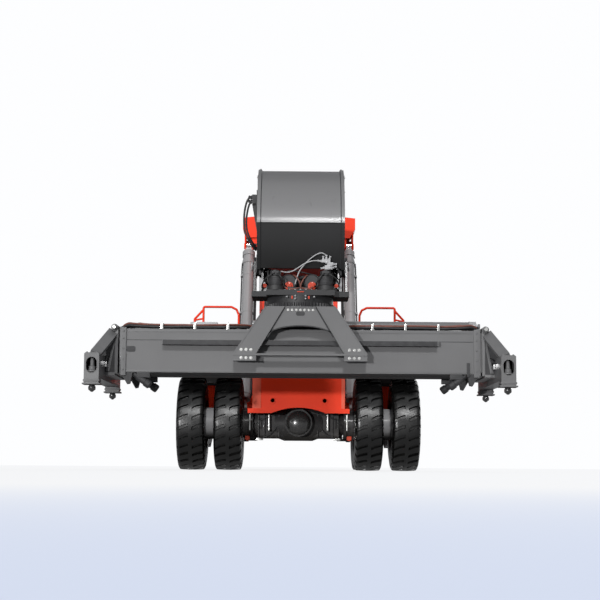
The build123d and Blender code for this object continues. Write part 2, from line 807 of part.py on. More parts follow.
wheel_centre = (0, seat_y - 480, floor_z + 760)
with BuildPart() as control_console:
    column_foot = (0, seat_y - 700, floor_z + 400)
    block((-160, 160), (seat_y - 860, seat_y - 620), (floor_z, floor_z + 520))
    rod(column_foot, wheel_centre, 35)
    tilt = Vector(*wheel_centre) - Vector(*column_foot)
    with BuildSketch(Plane(origin=wheel_centre, x_dir=(1, 0, 0), z_dir=tilt)):
        Circle(210)
        Circle(180, mode=Mode.SUBTRACT)
        Rectangle(380, 36)
        Rectangle(36, 380)
    extrude(amount=26)
    # armrest console beside the seat
    block((300, 430), (seat_y - 260, seat_y + 260), (floor_z, floor_z + 640))
    rod((365, seat_y - 200, floor_z + 640), (365, seat_y - 215, floor_z + 800), 22)
control_console.part.label = "control_console"
export_step(control_console.part, "parts/control_console.step")

lamp_size = (150, 90, 110)
lamps = (                     # x, y, height of the seat, 1 where it hangs
    (560, cab_front_y + 230, cab_high_z, 0),
    (1560, front_frame_y + 30, fender_z, 0),
    (1050, cabinet_back_y - 120, hood_high_z, 0),
)
with BuildPart() as work_lamps:
    for lamp_x, lamp_y, seat_z, hangs in lamps:
        for side, sign in sides:
            block(
                (sign * lamp_x - 20, sign * lamp_x + 20),
                (lamp_y - 15, lamp_y + 15),
                (seat_z, seat_z + 50),
            )
            block(
                (sign * lamp_x - lamp_size[0] / 2, sign * lamp_x + lamp_size[0] / 2),
                (lamp_y - lamp_size[1] / 2, lamp_y + lamp_size[1] / 2),
                (seat_z + 40, seat_z + 40 + lamp_size[2]),
            )
work_lamps.part.label = "work_lamps"
export_step(work_lamps.part, "parts/work_lamps.step")

with BuildPart() as exhaust:
    rod((-1100, base_y + 200, hood_high_z), (-1100, base_y + 200, hood_high_z + 620), 90)
    rod((-1100, base_y + 200, hood_high_z + 600), (-1100, base_y + 200, hood_high_z + 900), 55)
exhaust.part.label = "exhaust"
export_step(exhaust.part, "parts/exhaust.step")

# ---------------------------------------------------------------- boom
eye_y, eye_z = lift_eye
with BuildPart() as outer_boom:
    boom_slab(
        (outer_boom_front, outer_boom_back),
        (outer_boom_low, outer_boom_high),
        (-outer_boom_x, outer_boom_x),
    )
    boom_slab(
        (outer_boom_front - 10, outer_boom_back + 10),
        (outer_boom_low + boom_wall, outer_boom_high - boom_wall),
        (boom_wall - outer_boom_x, outer_boom_x - boom_wall),
        Mode.SUBTRACT,
    )
    # collar round the mouth
    collar = 45
    boom_slab(
        (outer_boom_front, outer_boom_front + 350),
        (outer_boom_low - collar, outer_boom_high + collar),
        (-outer_boom_x - collar, outer_boom_x + collar),
    )
    boom_slab(
        (outer_boom_front - 10, outer_boom_front + 360),
        (outer_boom_low + boom_wall, outer_boom_high - boom_wall),
        (boom_wall - outer_boom_x, outer_boom_x - boom_wall),
        Mode.SUBTRACT,
    )
    for side, sign in sides:
        # wear pads that the inner boom lies on and between
        boom_slab(
            (outer_boom_front + 20, outer_boom_front + 320),
            (outer_boom_low + boom_wall, inner_boom_low - fit),
            (sign * 200, sign * 430),
        )
        boom_slab(
            (outer_boom_front + 20, outer_boom_front + 320),
            (inner_boom_low + 60, inner_boom_low + 300),
            (sign * (inner_boom_x + fit), sign * (outer_boom_x - boom_wall)),
        )
        # pivot pin and its boss
        cross_rod((sign * outer_boom_x, sign * (tower_inner_x - fit)), pivot_y, pivot_z, 190)
        cross_rod((sign * outer_boom_x, sign * (tower_outer_x + 14)), pivot_y, pivot_z, pivot_pin_radius)
        # saddle over the rod eye of the lift cylinder, with two cheeks
        saddle = [
            (sign * outer_boom_x, eye_z + 140),
            (sign * (lift_x + 10), eye_z + 140),
            (sign * (lift_x + 120), eye_z + 320),
            (sign * (lift_x + 120), eye_z + 545),
            (sign * outer_boom_x, eye_z + 605),
        ]
        front_slab(saddle, (eye_y - 260, eye_y + 300))
        cheek = [
            (eye_y - 260, eye_z + 240),
            (eye_y - 120, eye_z - 90),
            (eye_y - 60, eye_z - 130),
            (eye_y + 60, eye_z - 130),
            (eye_y + 120, eye_z - 90),
            (eye_y + 300, eye_z + 240),
        ]
        for way in (-1, 1):
            near = lift_x + way * (lift_eye_half + 5)
            side_slab(cheek, (sign * near, sign * (near + way * 30)))
            cross_rod((sign * near, sign * (near + way * 45)), eye_y, eye_z, lift_pin_radius)
        block(
            (sign * outer_boom_x, sign * (lift_x - lift_eye_half - 5)),
            (eye_y - 200, eye_y + 240),
            (eye_z - 40, eye_z + 150),
        )
    # pin across the back that holds the extension cylinder
    back_pin = boom_point(extension_back, extension_w)
    pin_half = outer_boom_x - boom_wall + 10
    cross_rod((-pin_half, pin_half), *back_pin, extension_pin_radius)
outer_boom.part.label = "outer_boom"
export_step(outer_boom.part, "parts/outer_boom.step")

with BuildPart() as inner_boom:
    boom_slab(
        (inner_boom_front, inner_boom_back),
        (inner_boom_low, inner_boom_high),
        (-inner_boom_x, inner_boom_x),
    )
    boom_slab(
        (inner_boom_front - 10, inner_boom_back + 10),
        (inner_boom_low + boom_wall, inner_boom_high - boom_wall),
        (boom_wall - inner_boom_x, inner_boom_x - boom_wall),
        Mode.SUBTRACT,
    )
    for side, sign in sides:
        boom_slab(
            (inner_boom_back - 320, inner_boom_back - 20),
            (inner_boom_high, outer_boom_high - boom_wall - fit),
            (sign * 200, sign * 430),
        )
    front_pin = boom_point(extension_front, extension_w)
    pin_half = inner_boom_x - boom_wall + 10
    cross_rod((-pin_half, pin_half), *front_pin, extension_pin_radius)
inner_boom.part.label = "inner_boom"
export_step(inner_boom.part, "parts/inner_boom.step")


# extension cylinder inside the boom
def extension_bar(first, last, radius, mode=Mode.ADD):
    """Round bar between two places along the extension cylinder's line."""
    rod((0, *boom_point(first, extension_w)), (0, *boom_point(last, extension_w)), radius, mode)


def extension_eye(place):
    """Eye at one end of the extension cylinder with its pin hole."""
    centre = boom_point(place, extension_w)
    half, hole = extension_eye_half, extension_pin_radius + fit
    cross_rod((-half, half), *centre, extension_radius)
    cross_rod((-half - 1, half + 1), *centre, hole, Mode.SUBTRACT)


with BuildPart() as extension_barrel:
    extension_bar(extension_back - 60, extension_mouth, extension_radius)
    extension_bar(
        extension_back - extension_solid,
        extension_mouth + extension_gland,
        extension_radius - extension_wall,
        Mode.SUBTRACT,
    )
    extension_bar(
        extension_mouth + extension_gland + 10,
        extension_mouth - 10,
        extension_rod_radius + fit,
        Mode.SUBTRACT,
    )
    extension_eye(extension_back)
extension_barrel.part.label = "extension_barrel"
export_step(extension_barrel.part, "parts/extension_barrel.step")

with BuildPart() as extension_rod:
    extension_bar(extension_tail, extension_front + 60, extension_rod_radius)
    extension_eye(extension_front)
extension_rod.part.label = "extension_rod"
export_step(extension_rod.part, "parts/extension_rod.step")

# head: side plates proud of a curved nose plate and a folded lower plate
fold = (spreader_y - 500, 3637)
nose_low = (spreader_y - 290, 2966)
head_back_y = spreader_y + 250
head_top = boom_point(inner_boom_front, inner_boom_high)
head_bottom = boom_point(inner_boom_front, inner_boom_low)
nose_top = boom_point(inner_boom_front - 450, inner_boom_high)
nose_bulge = (nose_top[0] - 0.72 * (nose_top[0] - fold[0]), nose_top[1] - 0.34 * (nose_top[1] - fold[1]))
nose_plate = 30
nose_inset = 22               # folded plates behind the edges of the side plates


def head_section(inset):
    """Side outline of the head, drawn a distance inside its plates."""
    with BuildLine() as outline:
        Line(head_top, nose_top)
        ThreePointArc(nose_top, nose_bulge, fold)
        Line(fold, nose_low)
        Line(nose_low, (head_back_y, nose_low[1]))
        Line((head_back_y, nose_low[1]), (head_back_y, head_bottom[1] - 20))
        Line((head_back_y, head_bottom[1] - 20), head_bottom)
        Line(head_bottom, head_top)
    make_face(outline.edges())
    if inset:
        offset(amount=-inset, kind=Kind.INTERSECTION, mode=Mode.REPLACE)


with BuildPart() as boom_head:
    for side, sign in sides:
        with BuildSketch(Plane.YZ.offset(min(sign * head_x, sign * (head_x - head_plate)))):
            head_section(0)
            # lug round the yoke's pin
            with Locations((spreader_y, yoke_pin_z)):
                Circle(150)
            with Locations((spreader_y, yoke_pin_z)):
                Circle(yoke_pin_radius + fit, mode=Mode.SUBTRACT)
        extrude(amount=head_plate)
    with BuildSketch(Plane.YZ.offset(head_plate - head_x)):
        head_section(nose_inset)
    extrude(amount=2 * (head_x - head_plate))
    with BuildSketch(Plane.YZ.offset(head_plate - head_x)):
        head_section(nose_inset + nose_plate)
    extrude(amount=2 * (head_x - head_plate), mode=Mode.SUBTRACT)
    # back plate that meets the end of the inner boom
    boom_slab(
        (inner_boom_front - 60, inner_boom_front),
        (inner_boom_low, inner_boom_high),
        (head_plate - head_x, head_x - head_plate),
    )
    # open below and low at the back, where the yoke's ears swing
    block(
        (head_plate - head_x, head_x - head_plate),
        (spreader_y - 225, spreader_y + 260),
        (nose_low[1] - 20, yoke_pin_z + 250),
        Mode.SUBTRACT,
    )
boom_head.part.label = "boom_head"
export_step(boom_head.part, "parts/boom_head.step")

# ---------------------------------------------------------------- lift cylinders
lift_length = hypot(eye_y - foot_y, eye_z - foot_z)
lift_lean = atan2(eye_z - foot_z, eye_y - foot_y)


def lift_point(distance):
    """Place (y, z) on the lift cylinder's line, from the foot pin."""
    return (foot_y + distance * cos(lift_lean), foot_z + distance * sin(lift_lean))


for side, sign in sides:
    x = sign * lift_x
    collar_end = lift_length - lift_collar_gap
    with BuildPart() as lift_barrel:
        cross_rod((x - lift_foot_half, x + lift_foot_half), foot_y, foot_z, 135)
        rod((x, *lift_point(60)), (x, *lift_point(250)), lift_foot_half - 3)
        rod((x, *lift_point(240)), (x, *lift_point(collar_end - 110)), lift_barrel_radius)
        rod((x, *lift_point(collar_end - 110)), (x, *lift_point(collar_end)), lift_barrel_radius + 14)
        rod((x, *lift_point(320)), (x, *lift_point(collar_end - 100)), lift_rod_radius + 6, Mode.SUBTRACT)
        rod(
            (x, *lift_point(collar_end - 120)),
            (x, *lift_point(collar_end + 10)),
            lift_rod_radius + fit,
            Mode.SUBTRACT,
        )
        cross_rod((x - 80, x + 80), foot_y, foot_z, lift_pin_radius + fit, Mode.SUBTRACT)
    lift_barrel.part.label = f"lift_barrel_{side}"
    export_step(lift_barrel.part, f"parts/lift_barrel_{side}.step")

    with BuildPart() as lift_rod:
        rod((x, *lift_point(350)), (x, *lift_point(collar_end)), lift_rod_radius)
        rod((x, *lift_point(collar_end)), (x, *lift_point(lift_length - 60)), lift_eye_half - 2)
        cross_rod((x - lift_eye_half, x + lift_eye_half), eye_y, eye_z, lift_eye_radius)
    lift_rod.part.label = f"lift_rod_{side}"
    export_step(lift_rod.part, f"parts/lift_rod_{side}.step")

# ---------------------------------------------------------------- yoke and rotator
yoke_half_x = 720
yoke_half_y = 500
clevis_plates = ((552, 582), (668, 698))
with BuildPart() as yoke:
    block((-yoke_half_x, yoke_half_x), (spreader_y - 300, spreader_y + 300), (yoke_base_low, yoke_base_high))
    block((-500, 500), (spreader_y - yoke_half_y, spreader_y + yoke_half_y), (yoke_base_low, yoke_base_high))
    rod((0, spreader_y, ring_split_z + fit), (0, spreader_y, yoke_base_low), ring_radius)
    rod((0, spreader_y, ring_low_z), (0, spreader_y, yoke_base_high + 20), 150, Mode.SUBTRACT)
    ear = [
        (spreader_y - 220, yoke_base_high),
        (spreader_y - 130, yoke_pin_z + 60),
        (spreader_y - 60, yoke_pin_z + 130),
        (spreader_y + 60, yoke_pin_z + 130),
        (spreader_y + 130, yoke_pin_z + 60),
        (spreader_y + 220, yoke_base_high),
    ]
    for side, sign in sides:
        for near, far in clevis_plates:
            side_slab(ear, (sign * near, sign * far))
        cross_rod((sign * clevis_plates[0][0], sign * 715), spreader_y, yoke_pin_z, yoke_pin_radius)
yoke.part.label = "yoke"
export_step(yoke.part, "parts/yoke.step")

motor_x = 370
motor_y = spreader_y - 390
with BuildPart() as slew_motors:
    for side, sign in sides:
        x = sign * motor_x
        for low, high, radius in ((0, 60, 125), (60, 180, 95), (180, 200, 108), (200, 285, 80)):
            rod(
                (x, motor_y, yoke_base_high + low),
                (x, motor_y, yoke_base_high + high),
                radius,
            )
slew_motors.part.label = "slew_motors"
export_step(slew_motors.part, "parts/slew_motors.step")

# frame under the ring: top box, four slanted legs, feet that grip the ledges, cross bars
long_half_y = box_gap / 2 + box_depth
ledge_y = long_half_y + ledge_depth
leg_top_x, leg_foot_x = 505, 960         # outer edges of a leg
leg_top_width, leg_foot_width = 280, 330
leg_top_z, leg_foot_z = 2330, 1668
top_box_z = 2215
foot_low_z = 1562
foot_inner_x = leg_foot_x - leg_foot_width
crossbar_thick = 28
arch_half_x, arch_rise, arch_low_z = 480, 160, 1905
leg_plate = 130
shoe = 60
with BuildPart() as side_shift_frame:
    top_half_y = ledge_y + fit + 70
    rod((0, spreader_y, leg_top_z), (0, spreader_y, ring_split_z), ring_radius)
    block((-leg_top_x, leg_top_x), (spreader_y - top_half_y, spreader_y + top_half_y), (top_box_z, leg_top_z + 20))
    rod((0, spreader_y, 2150), (0, spreader_y, ring_split_z + 20), 150, Mode.SUBTRACT)
    for way in (-1, 1):
        face_y = spreader_y + way * (ledge_y + fit)
        # plate between the legs, with an arch cut out of its lower edge
        arch_plate = [
            (-leg_top_x + leg_top_width - 30, leg_top_z + 20),
            (leg_top_x - leg_top_width + 30, leg_top_z + 20),
            (arch_half_x + 40, arch_low_z - 15),
            (-arch_half_x - 40, arch_low_z - 15),
        ]
        front_slab(arch_plate, (face_y + way * 60, face_y + way * 100))
        with BuildSketch(Plane.XZ.offset(-face_y - way * 80 - 35)):
            with Locations((0, arch_low_z)):
                Ellipse(arch_half_x, arch_rise)
        extrude(amount=70, mode=Mode.SUBTRACT)
        for side, sign in sides:
            # slanted leg seen from the front, between the top box and the foot
            leg = [
                (sign * (leg_top_x - leg_top_width), leg_top_z + 20),
                (sign * leg_top_x, leg_top_z + 20),
                (sign * leg_foot_x, leg_foot_z),
                (sign * foot_inner_x, leg_foot_z),
            ]
            front_slab(leg, (face_y, face_y + way * leg_plate))
            # foot plate and the shoes that grip the ledge
            block(
                (sign * foot_inner_x, sign * leg_foot_x),
                (face_y, face_y + way * leg_plate),
                (foot_low_z, leg_foot_z),
            )
            for low in (ledge_low_z - fit - shoe, ledge_high_z + fit):
                block(
                    (sign * (foot_inner_x - 30), sign * (leg_foot_x - 180)),
                    (spreader_y + way * (long_half_y + 40), face_y),
                    (low, low + shoe),
                )
        block(
            (-leg_foot_x, leg_foot_x),
            (face_y + way * 20, face_y + way * (leg_plate + 12)),
            (leg_foot_z - crossbar_thick, leg_foot_z),
        )
side_shift_frame.part.label = "side_shift_frame"
export_step(side_shift_frame.part, "parts/side_shift_frame.step")

# ---------------------------------------------------------------- spreader
boxes = ((-1, 1), (1, -1))    # along: which long box, across: which end its beam comes out of
with BuildPart() as spreader_frame:
    for along, across in boxes:
        near = spreader_y + along * box_gap / 2
        far = spreader_y + along * long_half_y
        block((-main_half_x, main_half_x), (near, far), (beam_low_z, beam_high_z))
    for x in (-1800, 0, 1800):
        block(
            (x - 150, x + 150),
            (spreader_y - box_gap / 2, spreader_y + box_gap / 2),
            (beam_low_z + 40, beam_high_z - 40),
        )
    for side, sign in sides:
        block(
            (sign * main_half_x, sign * end_plate_x),
            (spreader_y - long_half_y - 20, spreader_y + long_half_y + 20),
            (beam_low_z - 30, beam_high_z + 25),
        )
    for along, across in boxes:
        near = spreader_y + along * (box_gap / 2 + main_wall)
        far = spreader_y + along * (long_half_y - main_wall)
        block(
            (-across * (main_half_x - 20), across * (end_plate_x + 10)),
            (near, far),
            (beam_low_z + main_wall, beam_high_z - main_wall),
            Mode.SUBTRACT,
        )
        # ledge that the frame above slides on
        block(
            (-ledge_half_x, ledge_half_x),
            (spreader_y + along * long_half_y, spreader_y + along * ledge_y),
            (ledge_low_z, ledge_high_z),
        )
        # wear pads at the mouth
        pad_y = (near, near + along * (beam_gap - fit))
        for pad_z in (
            (beam_low_z + main_wall, beam_low_z + main_wall + beam_gap - fit),
            (beam_high_z - main_wall - beam_gap + fit, beam_high_z - main_wall),
        ):
            block(
                (across * (main_half_x - 300), across * main_half_x),
                (near + along * 60, far - along * 60),
                pad_z,
            )
        block((across * (main_half_x - 300), across * main_half_x), pad_y, (1500, 1950))
spreader_frame.part.label = "spreader_frame"
export_step(spreader_frame.part, "parts/spreader_frame.step")

cylinder_y = 300              # from the spreader's middle
cylinder_z = beam_high_z + 95
cylinder_radius = 62
piston_rod_radius = 36
barrel_back_x = -700
barrel_end_x = end_plate_x - 24
with BuildPart() as telescope_barrels:
    for along, across in boxes:
        y = spreader_y + along * cylinder_y
        start = (across * barrel_back_x, y, cylinder_z)
        end = (across * barrel_end_x, y, cylinder_z)
        rod(start, end, cylinder_radius)
        for saddle_x in (barrel_back_x + 60, barrel_end_x - 200):
            block(
                (across * saddle_x, across * (saddle_x + 80)),
                (y - 80, y + 80),
                (beam_high_z, cylinder_z),
            )
        rod(
            (across * (barrel_back_x + 40), y, cylinder_z),
            (across * (barrel_end_x - 60), y, cylinder_z),
            piston_rod_radius + 8,
            Mode.SUBTRACT,
        )
        rod(
            (across * (barrel_end_x - 70), y, cylinder_z),
            (across * (barrel_end_x + 10), y, cylinder_z),
            piston_rod_radius + fit,
            Mode.SUBTRACT,
        )
telescope_barrels.part.label = "telescope_barrels"
export_step(telescope_barrels.part, "parts/telescope_barrels.step")

lock_x = lock_spacing_x / 2
arm_width, arm_depth = 150, 90
lock_y = lock_spacing_y / 2
beam_overlap = 1810           # stays inside the long box when the beam is out
beam_tail_x = main_half_x - beam_overlap - telescope_stroke
cross_half_y = lock_y + corner_half
for along, across in boxes:
    side = "right" if across > 0 else "left"
    y = spreader_y + along * cylinder_y
    with BuildPart() as telescoping_beam:
        near = spreader_y + along * (box_gap / 2 + main_wall + beam_gap)
        far = spreader_y + along * (long_half_y - main_wall - beam_gap)
        low, high = beam_low_z + main_wall + beam_gap, beam_high_z - main_wall - beam_gap
        block((across * beam_tail_x, across * head_plate_x), (near, far), (low, high))
        block(
            (across * (beam_tail_x - 10), across * (head_plate_x + 10)),
            (near + along * 14, far - along * 14),
            (low + 14, high - 14),
            Mode.SUBTRACT,
        )
    telescoping_beam.part.label = f"telescoping_beam_{side}"
    export_step(telescoping_beam.part, f"parts/telescoping_beam_{side}.step")

    with BuildPart() as end_frame:
        # head plate that the telescoping beam ends in
        block(
            (across * head_plate_x, across * (head_plate_x + 40)),
            (spreader_y - long_half_y, spreader_y + long_half_y),
            (beam_low_z - 20, beam_high_z + 40),
        )
        block(
            (across * (head_plate_x + 40), across * (lock_x - corner_half)),
            (spreader_y - long_half_y, spreader_y + long_half_y),
            (cross_low_z + 80, cross_low_z + 120),
        )
        # hollow cross beam with a corner housing at each end
        xs = (across * (lock_x - corner_half), across * (lock_x + corner_half))
        block(xs, (spreader_y - cross_half_y, spreader_y + cross_half_y), (cross_low_z, cross_high_z))
        block(
            (across * (lock_x - corner_half + 16), across * (lock_x + corner_half - 16)),
            (spreader_y - cross_half_y + 16, spreader_y + cross_half_y - 16),
            (cross_low_z + 16, cross_high_z - 16),
            Mode.SUBTRACT,
        )
        for way in (-1, 1):
            corner_y = spreader_y + way * lock_y
            block(xs, (corner_y - corner_half, corner_y + corner_half), (flange_low_z, cross_low_z))
            # oval hand hole in the end face
            face_y = spreader_y + way * cross_half_y
            with BuildSketch(Plane.XZ.offset(-face_y - 30)):
                with Locations((across * lock_x, 1465)):
                    SlotOverall(220, 151, rotation=90)
            extrude(amount=60, mode=Mode.SUBTRACT)
            rod(
                (across * lock_x, corner_y, flange_low_z - 10),
                (across * lock_x, corner_y, cross_low_z + 30),
                lock_radius + fit,
                Mode.SUBTRACT,
            )
            # slanted arm from the head plate down to the corner, with a pinned lug on top
            arm_start = Vector(
                across * (head_plate_x + 82),
                spreader_y + way * (long_half_y - 60),
                beam_high_z - 55,
            )
            arm_end = Vector(across * (lock_x - 25), spreader_y + way * (lock_y - 30), cross_high_z - 10)
            arm_path = arm_end - arm_start
            with BuildSketch(Plane(origin=arm_start, x_dir=(0, 1, 0), z_dir=arm_path)):
                Rectangle(arm_depth, arm_width)
            extrude(amount=arm_path.length)
            rod(
                (across * (head_plate_x + 52), spreader_y + way * (long_half_y - 110), beam_high_z + 15),
                (across * (head_plate_x + 52), spreader_y + way * (long_half_y + 20), beam_high_z + 15),
                50,
            )
            # web that closes the corner behind the arm
            web = [
                (across * (head_plate_x + 20), beam_high_z - 20),
                (across * (lock_x + 20), cross_high_z - 20),
                (across * (lock_x - corner_half + 10), cross_high_z - 20),
                (across * (lock_x - corner_half + 10), cross_low_z + 100),
                (across * (head_plate_x + 20), cross_low_z + 100),
            ]
            web_y = spreader_y + way * (long_half_y - 40)
            front_slab(web, (web_y, web_y + way * 25))
        # rod of the telescoping cylinder, pinned to the head plate
        rod(
            (across * (barrel_back_x + 60), y, cylinder_z),
            (across * (head_plate_x + 10), y, cylinder_z),
            piston_rod_radius,
        )
    end_frame.part.label = f"end_frame_{side}"
    export_step(end_frame.part, f"parts/end_frame_{side}.step")

    for way, place in ((-1, "front"), (1, "rear")):
        corner_y = spreader_y + way * lock_y
        with BuildPart() as twistlock:
            rod(
                (across * lock_x, corner_y, lock_low_z + 50),
                (across * lock_x, corner_y, cross_low_z + 16 - fit),
                lock_radius,
            )
            with BuildSketch(Plane.XY.offset(lock_low_z)):
                with Locations((across * lock_x, corner_y)):
                    RectangleRounded(104, 56, radius=24)
            extrude(amount=55)
            chamfer(twistlock.faces().sort_by(Axis.Z)[0].edges(), length=14)
        twistlock.part.label = f"twistlock_{place}_{side}"
        export_step(twistlock.part, f"parts/twistlock_{place}_{side}.step")
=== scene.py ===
import bmesh
import bpy
import math
import random
from mathutils import Matrix, Vector
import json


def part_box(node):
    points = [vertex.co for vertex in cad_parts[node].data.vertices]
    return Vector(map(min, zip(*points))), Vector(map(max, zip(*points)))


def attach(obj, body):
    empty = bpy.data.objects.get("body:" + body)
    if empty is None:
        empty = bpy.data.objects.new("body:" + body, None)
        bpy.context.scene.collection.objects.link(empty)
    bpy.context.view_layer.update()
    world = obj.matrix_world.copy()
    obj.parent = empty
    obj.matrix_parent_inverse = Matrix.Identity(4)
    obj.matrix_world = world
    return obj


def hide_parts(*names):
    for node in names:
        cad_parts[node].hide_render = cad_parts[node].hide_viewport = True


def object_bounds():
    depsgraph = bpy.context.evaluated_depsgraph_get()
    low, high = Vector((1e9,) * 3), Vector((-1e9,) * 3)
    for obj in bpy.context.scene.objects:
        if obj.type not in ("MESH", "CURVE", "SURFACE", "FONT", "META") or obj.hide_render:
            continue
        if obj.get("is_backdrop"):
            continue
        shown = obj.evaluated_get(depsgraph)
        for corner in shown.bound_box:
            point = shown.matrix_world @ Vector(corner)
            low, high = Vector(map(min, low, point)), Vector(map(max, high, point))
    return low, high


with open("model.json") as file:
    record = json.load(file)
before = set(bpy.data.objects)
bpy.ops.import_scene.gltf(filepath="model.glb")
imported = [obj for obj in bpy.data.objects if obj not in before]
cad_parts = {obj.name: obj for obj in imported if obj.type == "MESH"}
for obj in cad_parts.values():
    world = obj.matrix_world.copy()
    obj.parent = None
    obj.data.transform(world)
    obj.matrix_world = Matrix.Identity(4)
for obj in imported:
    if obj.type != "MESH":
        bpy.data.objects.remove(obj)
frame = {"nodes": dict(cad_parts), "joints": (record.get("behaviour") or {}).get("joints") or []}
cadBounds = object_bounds()
print("frame loaded:", len(frame["nodes"]), "nodes")


# places read from the frame, in metres
def middle(node):
    low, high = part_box(node)
    return (low + high) / 2


def jointOf(name):
    return next(joint for joint in frame["joints"] if joint["name"] == name)


frontAxle = Vector((0, *jointOf("front_right_spin")["pos_m"][1:]))
rearAxle = Vector((0, *jointOf("rear_right_spin")["pos_m"][1:]))
spreaderY = jointOf("spreader_rotate")["pos_m"][1]
cornerAway = 1.1295                                 # from the spreader's middle to its corners
yokePinZ = jointOf("yoke_level")["pos_m"][2]
boomPivot = Vector(jointOf("boom_lift")["pos_m"])
boomAxis = Vector(jointOf("boom_extend")["axis"])   # backwards along the boom
boomUp = Vector((0, -boomAxis.z, boomAxis.y))       # square to the boom, upwards
hands = (("left", -1), ("right", 1))


def boomPlace(x, along, up):
    return Vector((x, 0, 0)) + Vector((0, boomPivot.y, boomPivot.z)) + boomAxis * along + boomUp * up


# camera
viewPoint = {
    "place": (-0.0985, spreaderY - 20.67, 0.06),
    "lens": 83.3,
    "lookUp": 6.859,
    "turn": -0.262,
    "tilt": 0.387,
}
camera = bpy.data.objects.new("camera", bpy.data.cameras.new("camera"))
bpy.context.scene.collection.objects.link(camera)
camera.data.lens = viewPoint["lens"]
camera.data.clip_end = 400
camera.matrix_world = (
    Matrix.Translation(viewPoint["place"])
    @ Matrix.Rotation(math.radians(viewPoint["turn"]), 4, "Z")
    @ Matrix.Rotation(math.radians(90 + viewPoint["lookUp"]), 4, "X")
    @ Matrix.Rotation(math.radians(viewPoint["tilt"]), 4, "Z")
)
bpy.context.scene.camera = camera


# shader maths: an expression on these adds the nodes
class Wire:
    def __init__(self, finish, socket):
        self.finish = finish
        self.socket = socket

    def math(self, operation, first, second):
        return self.finish.node("ShaderNodeMath", {"operation": operation}, {0: first, 1: second})

    def __add__(self, other):
        return self.math("ADD", self, other)

    def __radd__(self, other):
        return self.math("ADD", other, self)

    def __sub__(self, other):
        return self.math("SUBTRACT", self, other)

    def __rsub__(self, other):
        return self.math("SUBTRACT", other, self)

    def __mul__(self, other):
        return self.math("MULTIPLY", self, other)

    def __rmul__(self, other):
        return self.math("MULTIPLY", other, self)

    def __gt__(self, other):
        return self.math("GREATER_THAN", self, other)

    def __lt__(self, other):
        return self.math("LESS_THAN", self, other)


class Finish:
    def __init__(self, name):
        self.material = bpy.data.materials.new(name)
        self.material.use_nodes = True
        self.tree = self.material.node_tree
        self.tree.nodes.clear()
        self.place = None

    def node(self, kind, settings={}, inputs={}, output=0):
        made = self.tree.nodes.new(kind)
        for key, value in settings.items():
            if key == "stops":
                for index, (position, shade) in enumerate(value):
                    while len(made.color_ramp.elements) <= index:
                        made.color_ramp.elements.new(1)
                    made.color_ramp.elements[index].position = position
                    made.color_ramp.elements[index].color = (*shade, 1)
            else:
                setattr(made, key, value)
        for key, value in inputs.items():
            if isinstance(value, Wire):
                self.tree.links.new(value.socket, made.inputs[key])
            else:
                made.inputs[key].default_value = value
        return Wire(self, made.outputs[output]) if len(made.outputs) else None

    def where(self):                     # the point's place in the frame, in metres
        if self.place is None:
            self.place = self.node("ShaderNodeTexCoord", output="Object")
        return self.place

    def axes(self):
        split = self.node("ShaderNodeSeparateXYZ", {}, {0: self.where()})
        nodeOutputs = split.socket.node.outputs
        return [Wire(self, nodeOutputs[index]) for index in range(3)]

    def stretched(self, x, y, z):
        return self.node("ShaderNodeVectorMath", {"operation": "MULTIPLY"}, {0: self.where(), 1: (x, y, z)})

    def noise(self, scale, detail=4, rough=0.55, at=None):
        return self.node(
            "ShaderNodeTexNoise",
            {},
            {"Vector": at or self.where(), "Scale": scale, "Detail": detail, "Roughness": rough},
        )

    def between(self, value, low, high, newLow=0.0, newHigh=1.0):
        return self.node(
            "ShaderNodeMapRange",
            {"interpolation_type": "SMOOTHSTEP"},
            {0: value, 1: low, 2: high, 3: newLow, 4: newHigh},
        )

    def blend(self, share, first, second):
        inputs = {0: share}
        for index, shade in ((6, first), (7, second)):
            inputs[index] = shade if isinstance(shade, Wire) else (*shade, 1)
        return self.node("ShaderNodeMix", {"data_type": "RGBA"}, inputs, output=2)

    def bump(self, height, strength=0.3, depth=0.004, under=None):
        inputs = {"Height": height, "Strength": strength, "Distance": depth}
        if under is not None:
            inputs["Normal"] = under
        return self.node("ShaderNodeBump", {}, inputs)

    def surface(self, inputs):
        for key, value in inputs.items():
            if key in ("Base Color", "Emission Color") and not isinstance(value, Wire):
                inputs[key] = (*value, 1)
        shader = self.node("ShaderNodeBsdfPrincipled", {}, inputs)
        self.node("ShaderNodeOutputMaterial", {}, {"Surface": shader})
        return self.material


# finishes
# near-black for faces that look down: partly grime, partly painted shade under the parts
sootAndUndersideShade = (0.018, 0.017, 0.016)
dustShade = (0.16, 0.14, 0.12)


